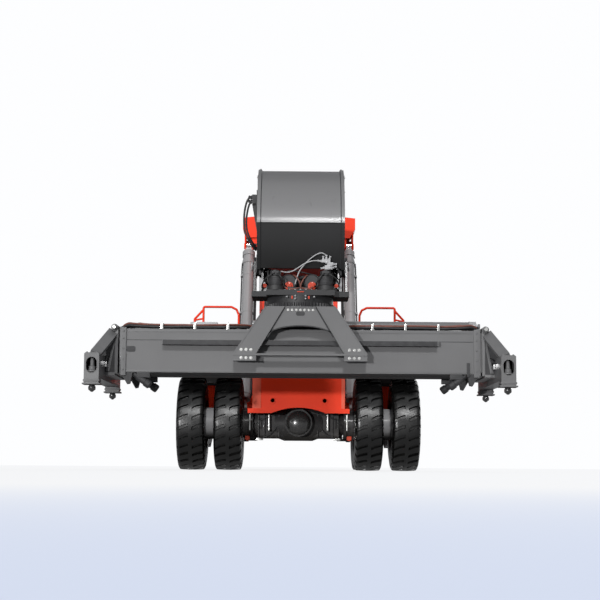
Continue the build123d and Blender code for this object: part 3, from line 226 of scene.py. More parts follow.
def paint(name, shade, rough=0.36, dustHigh=1.3, dust=0.3, coat=0.10, gloss=0.30, other=None, otherZ=None, paintedShadeBands=()):
    # other is a second shade, below otherZ[0] or above it, blended over otherZ[1]
    make = Finish(name)
    z = make.axes()[2]
    cloud = make.noise(0.9, 5)
    fine = make.noise(38, 3)
    grain = make.noise(420, 2)
    streak = make.noise(3.2, 3, at=make.stretched(5, 5, 0.35))
    colour = make.blend(make.between(cloud, 0.30, 0.70), tuple(part * 0.88 for part in shade), shade)
    if other:
        start, over = otherZ
        colour = make.blend(make.between(z, start, start + over), colour, other)
    # painted shade: each band darkens the colour between two heights
    for start, end, share in paintedShadeBands:      # darker from one height to another
        colour = make.blend(make.between(z, start, end) * share, colour, (0, 0, 0))
    # faces that look down are darkened: partly grime, partly painted shade where shade falls under the parts
    facing = make.node("ShaderNodeSeparateXYZ", {}, {0: make.node("ShaderNodeTexCoord", output="Normal")}, output="Z")
    under = make.between(facing, -0.45, -0.85)
    colour = make.blend(under * 0.72, colour, sootAndUndersideShade)
    colour = make.blend(make.between(streak, 0.62, 0.80) * 0.14, colour, tuple(part * 0.6 for part in shade))
    lowDirt = make.between(z, dustHigh, 0.2) * make.between(fine * 0.6 + cloud * 0.4, 0.38, 0.62)
    colour = make.blend(lowDirt * dust, colour, dustShade)
    roughness = rough + fine * 0.10 + lowDirt * 0.25 + cloud * 0.06 + under * 0.35
    return make.surface(
        {
            "Base Color": colour,
            "Roughness": roughness,
            "Normal": make.bump(grain * 0.5 + fine, 0.10, 0.0015),
            "Coat Weight": (1 - under) * coat,
            "Coat Roughness": 0.12,
            "Specular IOR Level": gloss,
        }
    )


def bareMetal(name, shade, rough=0.3, brushed=(1, 1, 30), grime=(0.10, 0.085, 0.07), soil=0.35):
    make = Finish(name)
    lines = make.noise(14, 5, 0.7, at=make.stretched(*brushed))
    cloud = make.noise(6, 5)
    soiled = make.between(cloud, 0.52, 0.72) * soil
    colour = make.blend(lines, tuple(part * 0.75 for part in shade), shade)
    colour = make.blend(soiled, colour, grime)
    return make.surface(
        {
            "Base Color": colour,
            "Metallic": 1 - soiled * 0.8,
            "Roughness": rough + lines * 0.12 + soiled * 0.4,
            "Normal": make.bump(lines, 0.12, 0.001),
        }
    )


def moulded(name, shade, rough=0.55, pitch=900, depth=0.0006):
    make = Finish(name)
    grain = make.noise(pitch, 2)
    cloud = make.noise(9, 4)
    colour = make.blend(make.between(cloud, 0.35, 0.7), shade, tuple(part * 1.35 + 0.01 for part in shade))
    return make.surface(
        {"Base Color": colour, "Roughness": rough + cloud * 0.15, "Normal": make.bump(grain, 0.35, depth)}
    )


def tyreRubber(name="tyreRubber"):
    make = Finish(name)
    z = make.axes()[2]
    cloud = make.noise(5, 5)
    grain = make.noise(160, 4, 0.7)
    dusty = make.between(cloud * 0.7 + grain * 0.3, 0.44, 0.66) * make.between(z, 0.75, 0.0, 0.12, 0.42)
    colour = make.blend(make.between(grain, 0.3, 0.7), (0.002, 0.002, 0.002), (0.005, 0.005, 0.0052))
    colour = make.blend(dusty * 0.25, colour, (0.060, 0.056, 0.050))
    return make.surface(
        {
            "Base Color": colour,
            "Roughness": 0.24 + cloud * 0.16 + dusty * 0.2,
            "Normal": make.bump(grain, 0.35, 0.002),
            "Specular IOR Level": 0.5,
        }
    )


def glassPane(name="windowGlass"):
    make = Finish(name)
    smear = make.noise(7, 5, 0.7)
    haze = make.between(smear, 0.45, 0.75)
    return make.surface(
        {
            "Base Color": make.blend(haze * 0.4, (0.25, 0.31, 0.31), (0.42, 0.44, 0.43)),
            "Roughness": 0.04 + haze * 0.10,
            "Alpha": 0.30 + haze * 0.10,
            "Specular IOR Level": 0.8,
            "Coat Weight": 0.6,
        }
    )


def lampLens(name="lampLens"):
    make = Finish(name)
    ribs = make.node(
        "ShaderNodeTexWave",
        {"bands_direction": "X", "wave_type": "BANDS"},
        {"Vector": make.where(), "Scale": 30, "Distortion": 0.0},
    )
    return make.surface(
        {
            "Base Color": make.blend(ribs, (0.62, 0.66, 0.68), (0.86, 0.88, 0.90)),
            "Roughness": 0.10 + ribs * 0.08,
            "Metallic": 0.35,
            "Normal": make.bump(ribs, 0.5, 0.003),
            "Coat Weight": 0.8,
        }
    )


def wovenCloth(name="seatCloth"):
    make = Finish(name)
    threads = {"Vector": make.where(), "Scale": 90, "Distortion": 0.4}
    warp, weft, rise = (make.node("ShaderNodeTexWave", {"bands_direction": way}, threads) for way in "XYZ")
    weave = warp * 0.4 + weft * 0.3 + rise * 0.3
    cloud = make.noise(11, 4)
    colour = make.blend(weave, (0.022, 0.023, 0.026), (0.060, 0.062, 0.068))
    colour = make.blend(make.between(cloud, 0.55, 0.75) * 0.3, colour, (0.10, 0.095, 0.09))
    return make.surface(
        {
            "Base Color": colour,
            "Roughness": 0.82 + cloud * 0.1,
            "Normal": make.bump(weave, 0.4, 0.0012),
            "Sheen Weight": 0.3,
        }
    )


def treadPlate(name="treadPlate", shade=(0.05, 0.05, 0.055)):
    make = Finish(name)
    x, y = make.axes()[:2]
    pitch = 0.045

    def studs(first, second):            # short raised bars, one slant in each family
        along = make.node("ShaderNodeMath", {"operation": "PINGPONG"}, {0: (first + second) * 0.7071, 1: pitch})
        across = make.node("ShaderNodeMath", {"operation": "PINGPONG"}, {0: (first - second) * 0.7071, 1: pitch / 2})
        return (along < pitch * 0.62) * (across < pitch * 0.13)

    flatSide = make.node("ShaderNodeNewGeometry", output="Normal")
    facing = make.node("ShaderNodeSeparateXYZ", {}, {0: flatSide}, output="Z")
    up = facing > 0.7
    bars = studs(x, y) * up
    cloud = make.noise(4, 5)
    fine = make.noise(60, 4)
    worn = make.between(cloud * 0.6 + fine * 0.4, 0.46, 0.60) * up
    colour = make.blend(make.between(cloud, 0.3, 0.7), shade, tuple(part * 1.5 for part in shade))
    colour = make.blend(bars * worn * 0.85, colour, (0.34, 0.34, 0.34))
    colour = make.blend(worn * 0.30, colour, (0.20, 0.18, 0.155))
    return make.surface(
        {
            "Base Color": colour,
            "Roughness": 0.48 + fine * 0.2,
            "Metallic": bars * worn * 0.7,
            "Normal": make.bump(bars * 1.0 + fine * 0.08, 0.8, 0.003),
        }
    )


red = (0.86, 0.040, 0.006)
grey = (0.150, 0.150, 0.153)
darkGrey = (0.024, 0.024, 0.025)
foldZ = 3.637                          # the head is darker below its fold
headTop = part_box("boom_head")[1].z
finishes = {
    "red": paint("redPaint", red, rough=0.38, coat=0.05, gloss=0.20),
    # paler red for the front plate's folded strips: a painted highlight
    "worn": paint("wornRedPaint", (0.80, 0.115, 0.062), rough=0.45, coat=0.0),
    "grey": paint("greyPaint", grey, rough=0.40, coat=0.05, dust=0.2),
    # head: lighter grey above the fold and dark grey below stand in for lit and shaded sides of one paint; the bands
    # darken the top and the bottom of the lower plate as painted shade
    "head": paint(
        "headPaint", darkGrey, rough=0.34, coat=0.1, other=tuple(part * 1.30 for part in grey),
        otherZ=(foldZ - 0.004, 0.008), paintedShadeBands=((foldZ + 0.05, headTop - 0.05, 0.34), (foldZ - 0.05, 3.0, 0.75))
    ),
    "slew": paint("slewPaint", grey, rough=0.40, coat=0.05, other=darkGrey, otherZ=(2.352, 0.004)),
    "dark": paint("charcoalPaint", (0.026, 0.026, 0.028), rough=0.38, coat=0.12),
    "gloss": paint("glossBlackPaint", (0.020, 0.020, 0.021), rough=0.16, coat=0.8, gloss=0.6),
    "rim": paint("rimPaint", (0.44, 0.44, 0.45), rough=0.36, coat=0.1, dustHigh=1.2),
    "tube": paint("cylinderPaint", (0.30, 0.30, 0.305), rough=0.18, coat=0.6, gloss=0.5, dust=0.15),
    "orange": paint("orangePaint", (0.55, 0.050, 0.018), rough=0.45, coat=0.1, dust=0.2),
    "chrome": bareMetal("chromeRod", (0.82, 0.82, 0.84), 0.08, (1, 1, 4), soil=0.08),
    "steel": bareMetal("machinedSteel", (0.50, 0.50, 0.50), 0.34),
    "bright": bareMetal("platedSteel", (0.72, 0.72, 0.70), 0.22, soil=0.15),
    "plastic": moulded("blackPlastic", (0.022, 0.022, 0.024)),
    "rubber": moulded("blackRubber", (0.016, 0.016, 0.017), 0.5, 400, 0.001),
    "brownHose": moulded("brownHose", (0.150, 0.050, 0.035), 0.45, 500, 0.0008),
    "tyre": tyreRubber(),
    "glass": glassPane(),
    "lens": lampLens(),
    "cloth": wovenCloth(),
    "tread": treadPlate(),
}


def spreaderEnds(name="spreaderEndPaint"):
    # grey paint with a chromed rod above the beams
    make = Finish(name)
    x, z = make.axes()[::2]
    size = make.node("ShaderNodeMath", {"operation": "ABSOLUTE"}, {0: x})
    low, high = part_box("telescope_barrels")
    onRod = (z > (high.z + low.z) / 2 - 0.03) * (z < high.z) * (size < high.x + 0.03)
    cloud = make.noise(1.7, 5)
    fine = make.noise(38, 3)
    colour = make.blend(make.between(cloud, 0.32, 0.68), tuple(part * 0.8 for part in grey), grey)
    return make.surface(
        {
            "Base Color": make.blend(onRod, colour, (0.82, 0.82, 0.84)),
            "Metallic": onRod,
            "Roughness": (0.44 + fine * 0.1) * (1 - onRod) + onRod * 0.1,
            "Normal": make.bump(fine, 0.1, 0.0015),
            "Coat Weight": 0.1,
        }
    )


finishes["ends"] = spreaderEnds()
nodeFinishes = {
    "grey": ("inner_boom", "spreader_frame"),
    "head": ("boom_head",),
    "slew": ("side_shift_frame",),
    "ends": ("end_frame_left", "end_frame_right"),
    "dark": ("yoke", "drive_axle", "steer_axle", "engine_block", "rear_frame", "front_fenders", "rear_fenders"),
    "tread": ("chassis_deck", "access_steps"),
    "plastic": ("work_lamps", "control_console", "seat_frame"),
    "steel": ("exhaust",),
    "rubber": ("slew_motors",),
}
startFinishes = {
    "telescoping_beam": "grey", "knuckle": "dark", "front_wheel": "rim", "rear_wheel": "rim", "lift_barrel": "tube",
    "lift_rod": "chrome", "twistlock": "gloss", "telescope_barrels": "grey", "front_tyres": "tyre",
    "rear_tyre": "tyre", "cab_glass": "glass", "door_glass": "glass", "seat_cushions": "cloth",
}
for name, node in frame["nodes"].items():
    chosen = "red"
    for start, finish in startFinishes.items():
        if name.startswith(start):
            chosen = finish
    for finish, members in nodeFinishes.items():
        if name in members:
            chosen = finish
    node.data.materials.clear()
    node.data.materials.append(finishes[chosen])
print("finishes set")


def settle(name, data, body, finish, smoothAngle=32):
    piece = bpy.data.objects.new(name, data)
    bpy.context.scene.collection.objects.link(piece)
    data.materials.append(finishes[finish])
    if isinstance(data, bpy.types.Mesh):
        data.polygons.foreach_set("use_smooth", [True] * len(data.polygons))
        data.set_sharp_from_angle(angle=math.radians(smoothAngle))
    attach(piece, body)
    return piece


def meshPiece(name, body, finish, build, smoothAngle=32):
    shape = bmesh.new()
    build(shape)
    bmesh.ops.recalc_face_normals(shape, faces=shape.faces)
    data = bpy.data.meshes.new(name)
    shape.to_mesh(data)
    shape.free()
    return settle(name, data, body, finish, smoothAngle)


def addBox(shape, low, high, edge=0.004, turn=None):
    # box between two corners with its edges broken
    low, high = Vector(low), Vector(high)
    size = high - low
    made = bmesh.ops.create_cube(shape, size=1)
    place = Matrix.Translation((low + high) / 2)
    if turn is not None:
        place = place @ turn
    place = place @ Matrix.Diagonal((*[abs(part) for part in size], 1))
    bmesh.ops.transform(shape, matrix=place, verts=made["verts"])
    edges = {line for vert in made["verts"] for line in vert.link_edges}
    width = min(edge, min(abs(part) for part in size) * 0.3)
    bmesh.ops.bevel(shape, geom=list(edges), offset=width, segments=2, profile=0.7, affect="EDGES")


def addTurned(shape, profile, origin, axis, segments=32, start=0.0, sweep=360.0):
    # surface of revolution, profile points (distance along the axis, radius)
    axis = Vector(axis).normalized()
    side = axis.orthogonal().normalized()
    across = axis.cross(side)
    rings = []
    closed = sweep > 359.9
    steps = segments if closed else segments + 1
    for along, radius in profile:
        ring = []
        for step in range(steps):
            angle = math.radians(start + sweep * step / segments)
            out = side * math.cos(angle) + across * math.sin(angle)
            ring.append(shape.verts.new(Vector(origin) + axis * along + out * max(radius, 1e-5)))
        rings.append(ring)
    for lower, upper in zip(rings, rings[1:]):
        for step in range(segments):
            after = (step + 1) % steps
            shape.faces.new((lower[step], lower[after], upper[after], upper[step]))
    if closed:
        for ring, (along, radius) in ((rings[0], profile[0]), (rings[-1], profile[-1])):
            if radius > 1e-4:
                shape.faces.new(ring)
            else:
                bmesh.ops.remove_doubles(shape, verts=ring, dist=1e-4)


def band(low, high, inner, outer, closed=False):
    # profile of a ring for addTurned, closed when its inside shows
    return [(low, inner), (low, outer), (high, outer), (high, inner)] + [(low, inner)] * closed


def rod(low, high, radius):
    # profile of a rod with closed ends for addTurned
    return [(low, 0), (low, radius), (high, radius), (high, 0)]


def addBolt(shape, place, axis, size=0.018, tall=0.012, washer=True):
    # hexagon head on a washer
    axis = Vector(axis).normalized()
    base = Vector(place)
    if washer:
        addTurned(shape, [(0, size * 1.25), (size * 0.18, size * 1.25)], base, axis, 16)
    profile = [(size * 0.15, size), (tall * 0.85, size), (tall, size * 0.85)]
    addTurned(shape, profile, base, axis, 6)


def addSlab(shape, outline, ys, along="Y"):
    # flat plate of the given outline: (x, z) points along Y, (y, z) points along X, (x, y) points along Z
    def corner(point, depth):
        if along == "Y":
            return (point[0], depth, point[1])
        if along == "X":
            return (depth, point[0], point[1])
        return (point[0], point[1], depth)

    near = [shape.verts.new(corner(point, ys[0])) for point in outline]
    far = [shape.verts.new(corner(point, ys[1])) for point in outline]
    shape.faces.new(near)
    shape.faces.new(list(reversed(far)))
    for index in range(len(outline)):
        after = (index + 1) % len(outline)
        shape.faces.new((near[index], far[index], far[after], near[after]))


def hoses(name, body, finish, runs, radius=0.012, smooth=True, cyclic=False):
    # one piece of several round hoses or pipes, each a list of points
    data = bpy.data.curves.new(name, "CURVE")
    data.dimensions = "3D"
    data.bevel_depth = radius
    data.bevel_resolution = 3
    data.use_fill_caps = True
    data.resolution_u = 8
    for run in runs:
        line = data.splines.new("NURBS" if smooth else "POLY")
        line.points.add(len(run) - 1)
        for point, place in zip(line.points, run):
            point.co = (*place, 1)
        line.use_cyclic_u = cyclic
        if smooth:
            line.order_u = 3
            line.use_endpoint_u = True
    return settle(name, data, body, finish)


# tyres with lugs
tyreMake = {
    "pitches": 30,
    "grooveShare": 0.37,      # of a pitch
    "grooveDepth": 0.040,
    "slant": 0.50,            # of a pitch, from the rib to the shoulder
    "rib": 0.14,              # half width of the centre rib, of half the tread
}


def addTyre(shape, centre, outerRadius, width):
    half = width / 2
    beadRadius, beadHalf = 0.352, 0.181
    tread = half - 0.030
    # cross-section from one bead to the other: (across, radius, groove share)
    section = [
        (-beadHalf, beadRadius - 0.03, 0), (-beadHalf, beadRadius, 0), (-beadHalf - 0.022, beadRadius + 0.03, 0)
    ]
    section += [(-half + 0.020, 0.43, 0), (-half + 0.002, 0.50, 0), (-half, 0.565, 0)]
    section += [(-half + 0.006, 0.565 + 0.012, 0), (-half + 0.002, 0.60, 0), (-half + 0.004, 0.66, 0)]
    section += [(-half + 0.012, 0.715, 0.0), (-half + 0.013, 0.722, 0.85), (-half + 0.020, 0.765, 1)]
    rounds = (
        (1.0, 0.030), (0.965, 0.014), (0.90, 0.0075), (0.72, 0.0045), (0.50, 0.002), (0.30, 0.001), (0.175, 0.0)
    )
    for share, drop in rounds:
        section.append((-tread * share, outerRadius - drop - 0.004 * (share > 0.9), 1))
    section.append((-tread * tyreMake["rib"], outerRadius, 0))
    full = section + [(0, outerRadius, 0)] + [(-across, radius, deep) for across, radius, deep in reversed(section)]
    columns = (0.0, 0.06, tyreMake["grooveShare"] - 0.06, tyreMake["grooveShare"], 0.53, 0.77)
    sunk = (0, 1, 1, 0, 0, 0)
    pitch = 2 * math.pi / tyreMake["pitches"]
    rings = []
    for step in range(tyreMake["pitches"]):
        for share, low in zip(columns, sunk):
            ring = []
            for across, radius, deep in full:
                away = min(1, abs(across) / tread)
                lean = math.copysign(away, across) * tyreMake["slant"]
                curve = 0.10 * math.sin(math.pi * away)
                angle = (step + share + lean + curve) * pitch
                if across > 0:
                    angle += pitch * 0.5
                if abs(across) < tread * 0.12:
                    angle = (step + share) * pitch + (pitch * 0.25)
                sink = tyreMake["grooveDepth"] * deep * low
                inward = sink * (0.75 if radius < outerRadius - 0.05 else 1)
                sideways = 0.0
                if deep and radius < outerRadius - 0.02 and low:
                    sideways = -math.copysign(0.012, across)
                ring.append(
                    shape.verts.new(
                        (
                            centre[0] + across + sideways,
                            centre[1] + math.sin(angle) * (radius - inward),
                            centre[2] + math.cos(angle) * (radius - inward),
                        )
                    )
                )
            rings.append(ring)
    for index, ring in enumerate(rings):
        after = rings[(index + 1) % len(rings)]
        for low in range(len(full) - 1):
            shape.faces.new((ring[low], ring[low + 1], after[low + 1], after[low]))
        shape.faces.new((ring[-1], ring[0], after[0], after[-1]))


tyreLow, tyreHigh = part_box("rear_tyre_right")
tyreWidth = tyreHigh.x - tyreLow.x
tyreRadius = (tyreHigh.z - tyreLow.z) / 2
for side, hand in hands:
    low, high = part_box(f"front_tyres_{side}")
    centres = [low.x + tyreWidth / 2, high.x - tyreWidth / 2]

    def pair(shape):
        for x in centres:
            addTyre(shape, (x, frontAxle.y, frontAxle.z), tyreRadius - 0.0005, tyreWidth)

    tyres = meshPiece(f"lugged_tyres_front_{side}", f"front_wheels_{side}", "tyre", pair, 40)
    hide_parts(f"front_tyres_{side}")
    rearX = middle(f"rear_tyre_{side}").x

    def single(shape):
        addTyre(shape, (rearX, rearAxle.y, rearAxle.z), tyreRadius - 0.0005, tyreWidth)

    tyre = meshPiece(f"lugged_tyre_rear_{side}", f"rear_wheels_{side}", "tyre", single, 40)
    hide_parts(f"rear_tyre_{side}")
print("tyres made")

# wheels: nuts, caps and lock rings
def circlePlaces(centre, axis, radius, count, start=0.0):
    axis = Vector(axis).normalized()
    side = Vector((0, 0, 1)) if abs(axis.z) < 0.9 else Vector((1, 0, 0))
    side = (side - axis * side.dot(axis)).normalized()
    across = axis.cross(side)
    for index in range(count):
        angle = 2 * math.pi * (index + start) / count
        yield Vector(centre) + (side * math.cos(angle) + across * math.sin(angle)) * radius


wheelMake = {"nuts": 20, "frontNutRing": 0.229, "rearNutRing": 0.232, "nut": 0.019, "capBolts": 8}
for side, hand in hands:
    out = (hand, 0, 0)
    low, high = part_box(f"front_tyres_{side}")
    frontX = (high.x if hand > 0 else low.x) - hand * tyreWidth / 2
    rearX = middle(f"rear_tyre_{side}").x

    def frontNuts(shape):
        disc = (frontX - hand * 0.12, frontAxle.y, frontAxle.z)
        for place in circlePlaces(disc, out, wheelMake["frontNutRing"], wheelMake["nuts"]):
            addBolt(shape, place, out, wheelMake["nut"], 0.03)
        cap = (frontX + hand * 0.145, frontAxle.y, frontAxle.z)
        for place in circlePlaces(cap, out, 0.125, wheelMake["capBolts"]):
            addBolt(shape, place, out, 0.012, 0.010)
        addTurned(shape, [(0, 0.07), (0.012, 0.07), (0.018, 0.05), (0.018, 0)], cap, out, 24)

    def rearNuts(shape):
        disc = (rearX + hand * 0.105, rearAxle.y, rearAxle.z)
        for place in circlePlaces(disc, out, wheelMake["rearNutRing"], wheelMake["nuts"]):
            addBolt(shape, place, out, wheelMake["nut"], 0.032)
        cap = (rearX + hand * 0.212, rearAxle.y, rearAxle.z)
        addTurned(shape, [(-0.004, 0.085), (0.012, 0.085), (0.02, 0.06), (0.02, 0)], cap, out, 24)

    def lockRing(shape, x, y, z):
        profile = [(0.150, 0.338), (0.166, 0.346), (0.186, 0.344), (0.192, 0.330), (0.186, 0.318), (0.152, 0.318)]
        addTurned(shape, profile, (x, y, z), out, 72, 4, 352)

    meshPiece(f"front_nuts_{side}", f"front_wheels_{side}", "steel", frontNuts)
    meshPiece(f"rear_nuts_{side}", f"rear_wheels_{side}", "steel", rearNuts)
    meshPiece(
        f"front_lock_ring_{side}", f"front_wheels_{side}", "rim",
        lambda shape: lockRing(shape, frontX, frontAxle.y, frontAxle.z)
    )
    meshPiece(
        f"rear_lock_ring_{side}", f"rear_wheels_{side}", "rim",
        lambda shape: lockRing(shape, rearX, rearAxle.y, rearAxle.z)
    )
print("wheel details made")

# front plate and drive axle
plateFaceY = frontAxle.y - 0.8
plateMake = {"half": 0.80, "strip": 0.150, "towHole": (0.448, 1.196), "holeRing": 0.058}


def frontStrips(shape):
    # folded edges on both sides of the plate, in paler red: a painted highlight on the folds
    for hand in (-1, 1):
        wide = plateMake["strip"] * (1 if hand < 0 else 0.42)
        near, far = hand * (plateMake["half"] - wide), hand * (plateMake["half"] - 0.004)
        addBox(shape, (near, plateFaceY - 0.012, 1.060), (far, plateFaceY, 1.885), 0.005)


def frontTrim(shape):
    for hand in (-1, 1):
        x, z = plateMake["towHole"]
        ring = [(0.0, plateMake["holeRing"]), (0.008, plateMake["holeRing"]), (0.008, 0.036), (0.0, 0.036)]
        addTurned(shape, ring, (hand * x, plateFaceY - 0.001, z), (0, -1, 0), 32)


# the strips' paler red is a painted highlight on the folded edges
meshPiece("front_plate_strips", "chassis", "worn", frontStrips)
meshPiece("front_plate_trim", "chassis", "red", frontTrim)


def axleCover(shape):
    # domed cover of the axle's middle
    centre = Vector((0, frontAxle.y - 0.420, frontAxle.z + 0.008))
    profile = [(0.0, 0.205), (0.02, 0.203)]
    for step in range(1, 13):
        angle = math.radians(90 - 7.5 * step)
        profile.append((0.02 + 0.115 * math.cos(angle), 0.203 * math.sin(angle)))
    addTurned(shape, profile, centre, (0, -1, 0), 64)


meshPiece("axle_cover", "chassis", "gloss", axleCover)


def axleDetails(shape):
    # cover flange with its bolts, and the planet housings' ribs
    centre = Vector((0, frontAxle.y - 0.40, frontAxle.z + 0.008))
    addTurned(shape, band(0, 0.022, 0.212, 0.242), centre, (0, -1, 0), 48)
    for place in circlePlaces(centre + Vector((0, -0.022, 0)), (0, -1, 0), 0.228, 20, 0.5):
        addBolt(shape, place, (0, -1, 0), 0.011, 0.012, False)
    for hand in (-1, 1):
        for x in (0.34, 0.60, 0.70):
            addBox(
                shape, (hand * x - 0.010, frontAxle.y - 0.235, 0.58), (hand * x + 0.010, frontAxle.y - 0.19, 1.01),
                0.004
            )
        addTurned(shape, [(0, 0.262), (0.05, 0.262)], (hand * 0.80, *frontAxle.yz), (hand, 0, 0), 40)
        for place in circlePlaces((hand * 0.80, *frontAxle.yz), (-hand, 0, 0), 0.25, 16):
            addBolt(shape, place, (-hand, 0, 0), 0.012, 0.012, False)


meshPiece("axle_flanges", "chassis", "dark", axleDetails)


def brightEdges(shape):
    # bright steel strips on the front edges of the axle's brackets, and a bright block on each side
    for hand in (-1, 1):
        for x in (0.515, 0.855):
            addBox(
                shape, (hand * x - 0.011, frontAxle.y - 0.284, 0.70), (hand * x + 0.011, frontAxle.y - 0.279, 0.975),
                0.002
            )
        addBox(shape, (hand * 0.62, frontAxle.y - 0.215, 0.525), (hand * 0.74, frontAxle.y - 0.15, 0.56), 0.004)


def brakeParts(shape):
    for hand in (-1, 1):
        addTurned(
            shape, [(-0.06, 0.034), (-0.05, 0.044), (0.05, 0.044), (0.06, 0.034)],
            (hand * 0.90, frontAxle.y - 0.06, 0.56), (0, 1, 0), 20
        )
        addBox(shape, (hand * 0.86, frontAxle.y - 0.10, 0.56), (hand * 0.94, frontAxle.y - 0.02, 0.62), 0.004)


meshPiece("axle_worn_edges", "chassis", "bright", brightEdges)
meshPiece("brake_parts", "chassis", "orange", brakeParts)
brakeRuns = []
for hand in (-1, 1):
    y = frontAxle.y
    brakeRuns.append([(hand * 0.90, y - 0.06, 0.60), (hand * 0.84, y - 0.14, 0.70), (hand * 0.70, y - 0.23, 0.86),
                      (hand * 0.52, y - 0.245, 0.95), (hand * 0.36, y - 0.24, 0.98), (hand * 0.22, y - 0.22, 1.02)])
    brakeRuns.append([(hand * 0.66, y - 0.21, 0.555), (hand * 0.52, y - 0.24, 0.60), (hand * 0.40, y - 0.24, 0.72),
                      (hand * 0.32, y - 0.235, 0.90), (hand * 0.18, y - 0.22, 1.02)])
hoses("brake_hoses", "chassis", "rubber", brakeRuns, 0.011)
print("front plate and axle details made")

# spreader
beamTop = 2.04
spreaderMake = {
    "hoseRadius": 0.0165,
    "hoseRows": (-0.555, -0.515, -0.478, -0.442, -0.405),
    "clampPitch": 0.48,
    "hoseEnd": 2.40,
}


def beamHoses(rows, lift, phase):
    runs = []
    random.seed(phase)
    for hand in (-1, 1):
        for index, row in enumerate(rows):
            inner = 0.62 + 0.10 * index
            y = spreaderY + row
            z = beamTop + spreaderMake["hoseRadius"] + lift
            run = [(hand * inner, y + 0.22, z + 0.005), (hand * (inner + 0.12), y + 0.12, z + 0.03)]
            x = inner + 0.30
            while x < spreaderMake["hoseEnd"] - 0.2:
                run.append((hand * x, y + random.uniform(-0.007, 0.007), z + 0.012 + random.uniform(0, 0.014)))
                x += 0.24
            run += [(hand * (x + 0.05), y + 0.01, z + 0.03), (hand * (x + 0.16), y + 0.05, z + 0.05),
                    (hand * (x + 0.22), y + 0.10, z + 0.01)]
            runs.append(run)
    return runs


hoses(
    "spreader_hoses_black", "spreader", "rubber", beamHoses(spreaderMake["hoseRows"], 0.0, 3),
    spreaderMake["hoseRadius"]
)
hoses("spreader_hoses_brown", "spreader", "brownHose", beamHoses((-0.535, -0.495, -0.425), 0.031, 8), 0.0135)


def hoseClamps(shape):
    for hand in (-1, 1):
        x = 1.05
        while x < 2.35:
            addBox(
                shape, (hand * x - 0.02, spreaderY - 0.585, beamTop),
                (hand * x + 0.02, spreaderY - 0.375, beamTop + 0.012), 0.002
            )
            addBox(
                shape, (hand * x - 0.02, spreaderY - 0.585, beamTop + 0.078),
                (hand * x + 0.02, spreaderY - 0.375, beamTop + 0.09), 0.003
            )
            for y in (-0.585, -0.375):
                addBox(
                    shape, (hand * x - 0.018, spreaderY + y - 0.006, beamTop),
                    (hand * x + 0.018, spreaderY + y + 0.006, beamTop + 0.088), 0.002
                )
                addBolt(shape, (hand * x, spreaderY + y * 0.985, beamTop + 0.09), (0, 0, 1), 0.009, 0.008, False)
            x += spreaderMake["clampPitch"]


meshPiece("spreader_hose_clamps", "spreader", "bright", hoseClamps)


def spreaderTrim(shape):
    # bolted plates at the beam's ends and strips along its folds
    for way in (-1, 1):
        for hand in (-1, 1):
            addBox(
                shape, (hand * 2.52, spreaderY + way * 0.585, 1.36), (hand * 2.60, spreaderY + way * 0.625, 2.055),
                0.006
            )
            for z in (1.45, 1.60, 1.75, 1.90, 2.0):
                addBolt(shape, (hand * 2.56, spreaderY + way * 0.625, z), (0, way, 0), 0.013, 0.012)
        addBox(
            shape, (-2.50, spreaderY + way * 0.602, beamTop - 0.045),
            (2.50, spreaderY + way * 0.606, beamTop - 0.012), 0.002
        )
        addBox(shape, (-2.50, spreaderY + way * 0.602, 1.42), (2.50, spreaderY + way * 0.606, 1.445), 0.002)


meshPiece("spreader_trim", "spreader", "grey", spreaderTrim)


def spreaderDark(shape):
    # black plate for the hand hole in the face, a painted shade of its opening; foot guard bar and the wear strips of
    # the ledges
    outline = []
    for corner, (x, z) in enumerate(((-2.385, 1.70), (-2.385, 1.785), (-2.515, 1.785), (-2.515, 1.70))):
        sx, sz = (1, 1, -1, -1)[corner], (-1, 1, 1, -1)[corner]
        for turn in (0, 45, 90):
            angle = math.radians((-90, 0, 90, 180)[corner] + turn)
            outline.append((x - sx * 0.022 + 0.022 * math.cos(angle), z - sz * 0.022 + 0.022 * math.sin(angle)))
    addSlab(shape, outline, (spreaderY - 0.6015, spreaderY - 0.595))
    addBox(shape, (2.415, spreaderY - 0.63, 1.37), (2.455, spreaderY - 0.60, 1.57), 0.006)
    for way in (-1, 1):
        for hand in (-1, 1):
            # black strip for the groove above the ledge, a painted shadow in it, and under the ends a guard and a
            # slanted cylinder with its clevis
            addBox(
                shape, (hand * 1.995, spreaderY + way * 0.6005, 1.872),
                (hand * 2.515, spreaderY + way * 0.6035, 1.880), 0.001
            )
            y = spreaderY + way * 0.54
            addSlab(
                shape, [(hand * 2.42, 1.408), (hand * 2.60, 1.408), (hand * 2.50, 1.235), (hand * 2.46, 1.245)],
                (y - 0.05, y + 0.05)
            )
            profile = [
                (0, 0.0), (0, 0.036), (0.05, 0.040), (0.06, 0.052), (0.19, 0.052), (0.20, 0.062), (0.27, 0.062),
                (0.285, 0.05), (0.29, 0.0)
            ]
            addTurned(shape, profile, (hand * 2.40, y, 1.385), (-hand * 0.78, 0, -0.56), 28)
            addBox(shape, (hand * 2.17, y - 0.06, 1.33), (hand * 2.36, y + 0.06, 1.408), 0.012)
    for way in (-1, 1):
        addBox(shape, (-1.98, spreaderY + way * 0.748, 1.802), (1.98, spreaderY + way * 0.7515, 1.868), 0.001)


meshPiece("spreader_dark_parts", "spreader", "plastic", spreaderDark)


def slideStrip(shape):
    for way in (-1, 1):
        addBox(shape, (-1.985, spreaderY + way * 0.605, 1.8695), (1.985, spreaderY + way * 0.745, 1.8702), 0.0002)


meshPiece("ledge_slide_strips", "spreader", "steel", slideStrip)


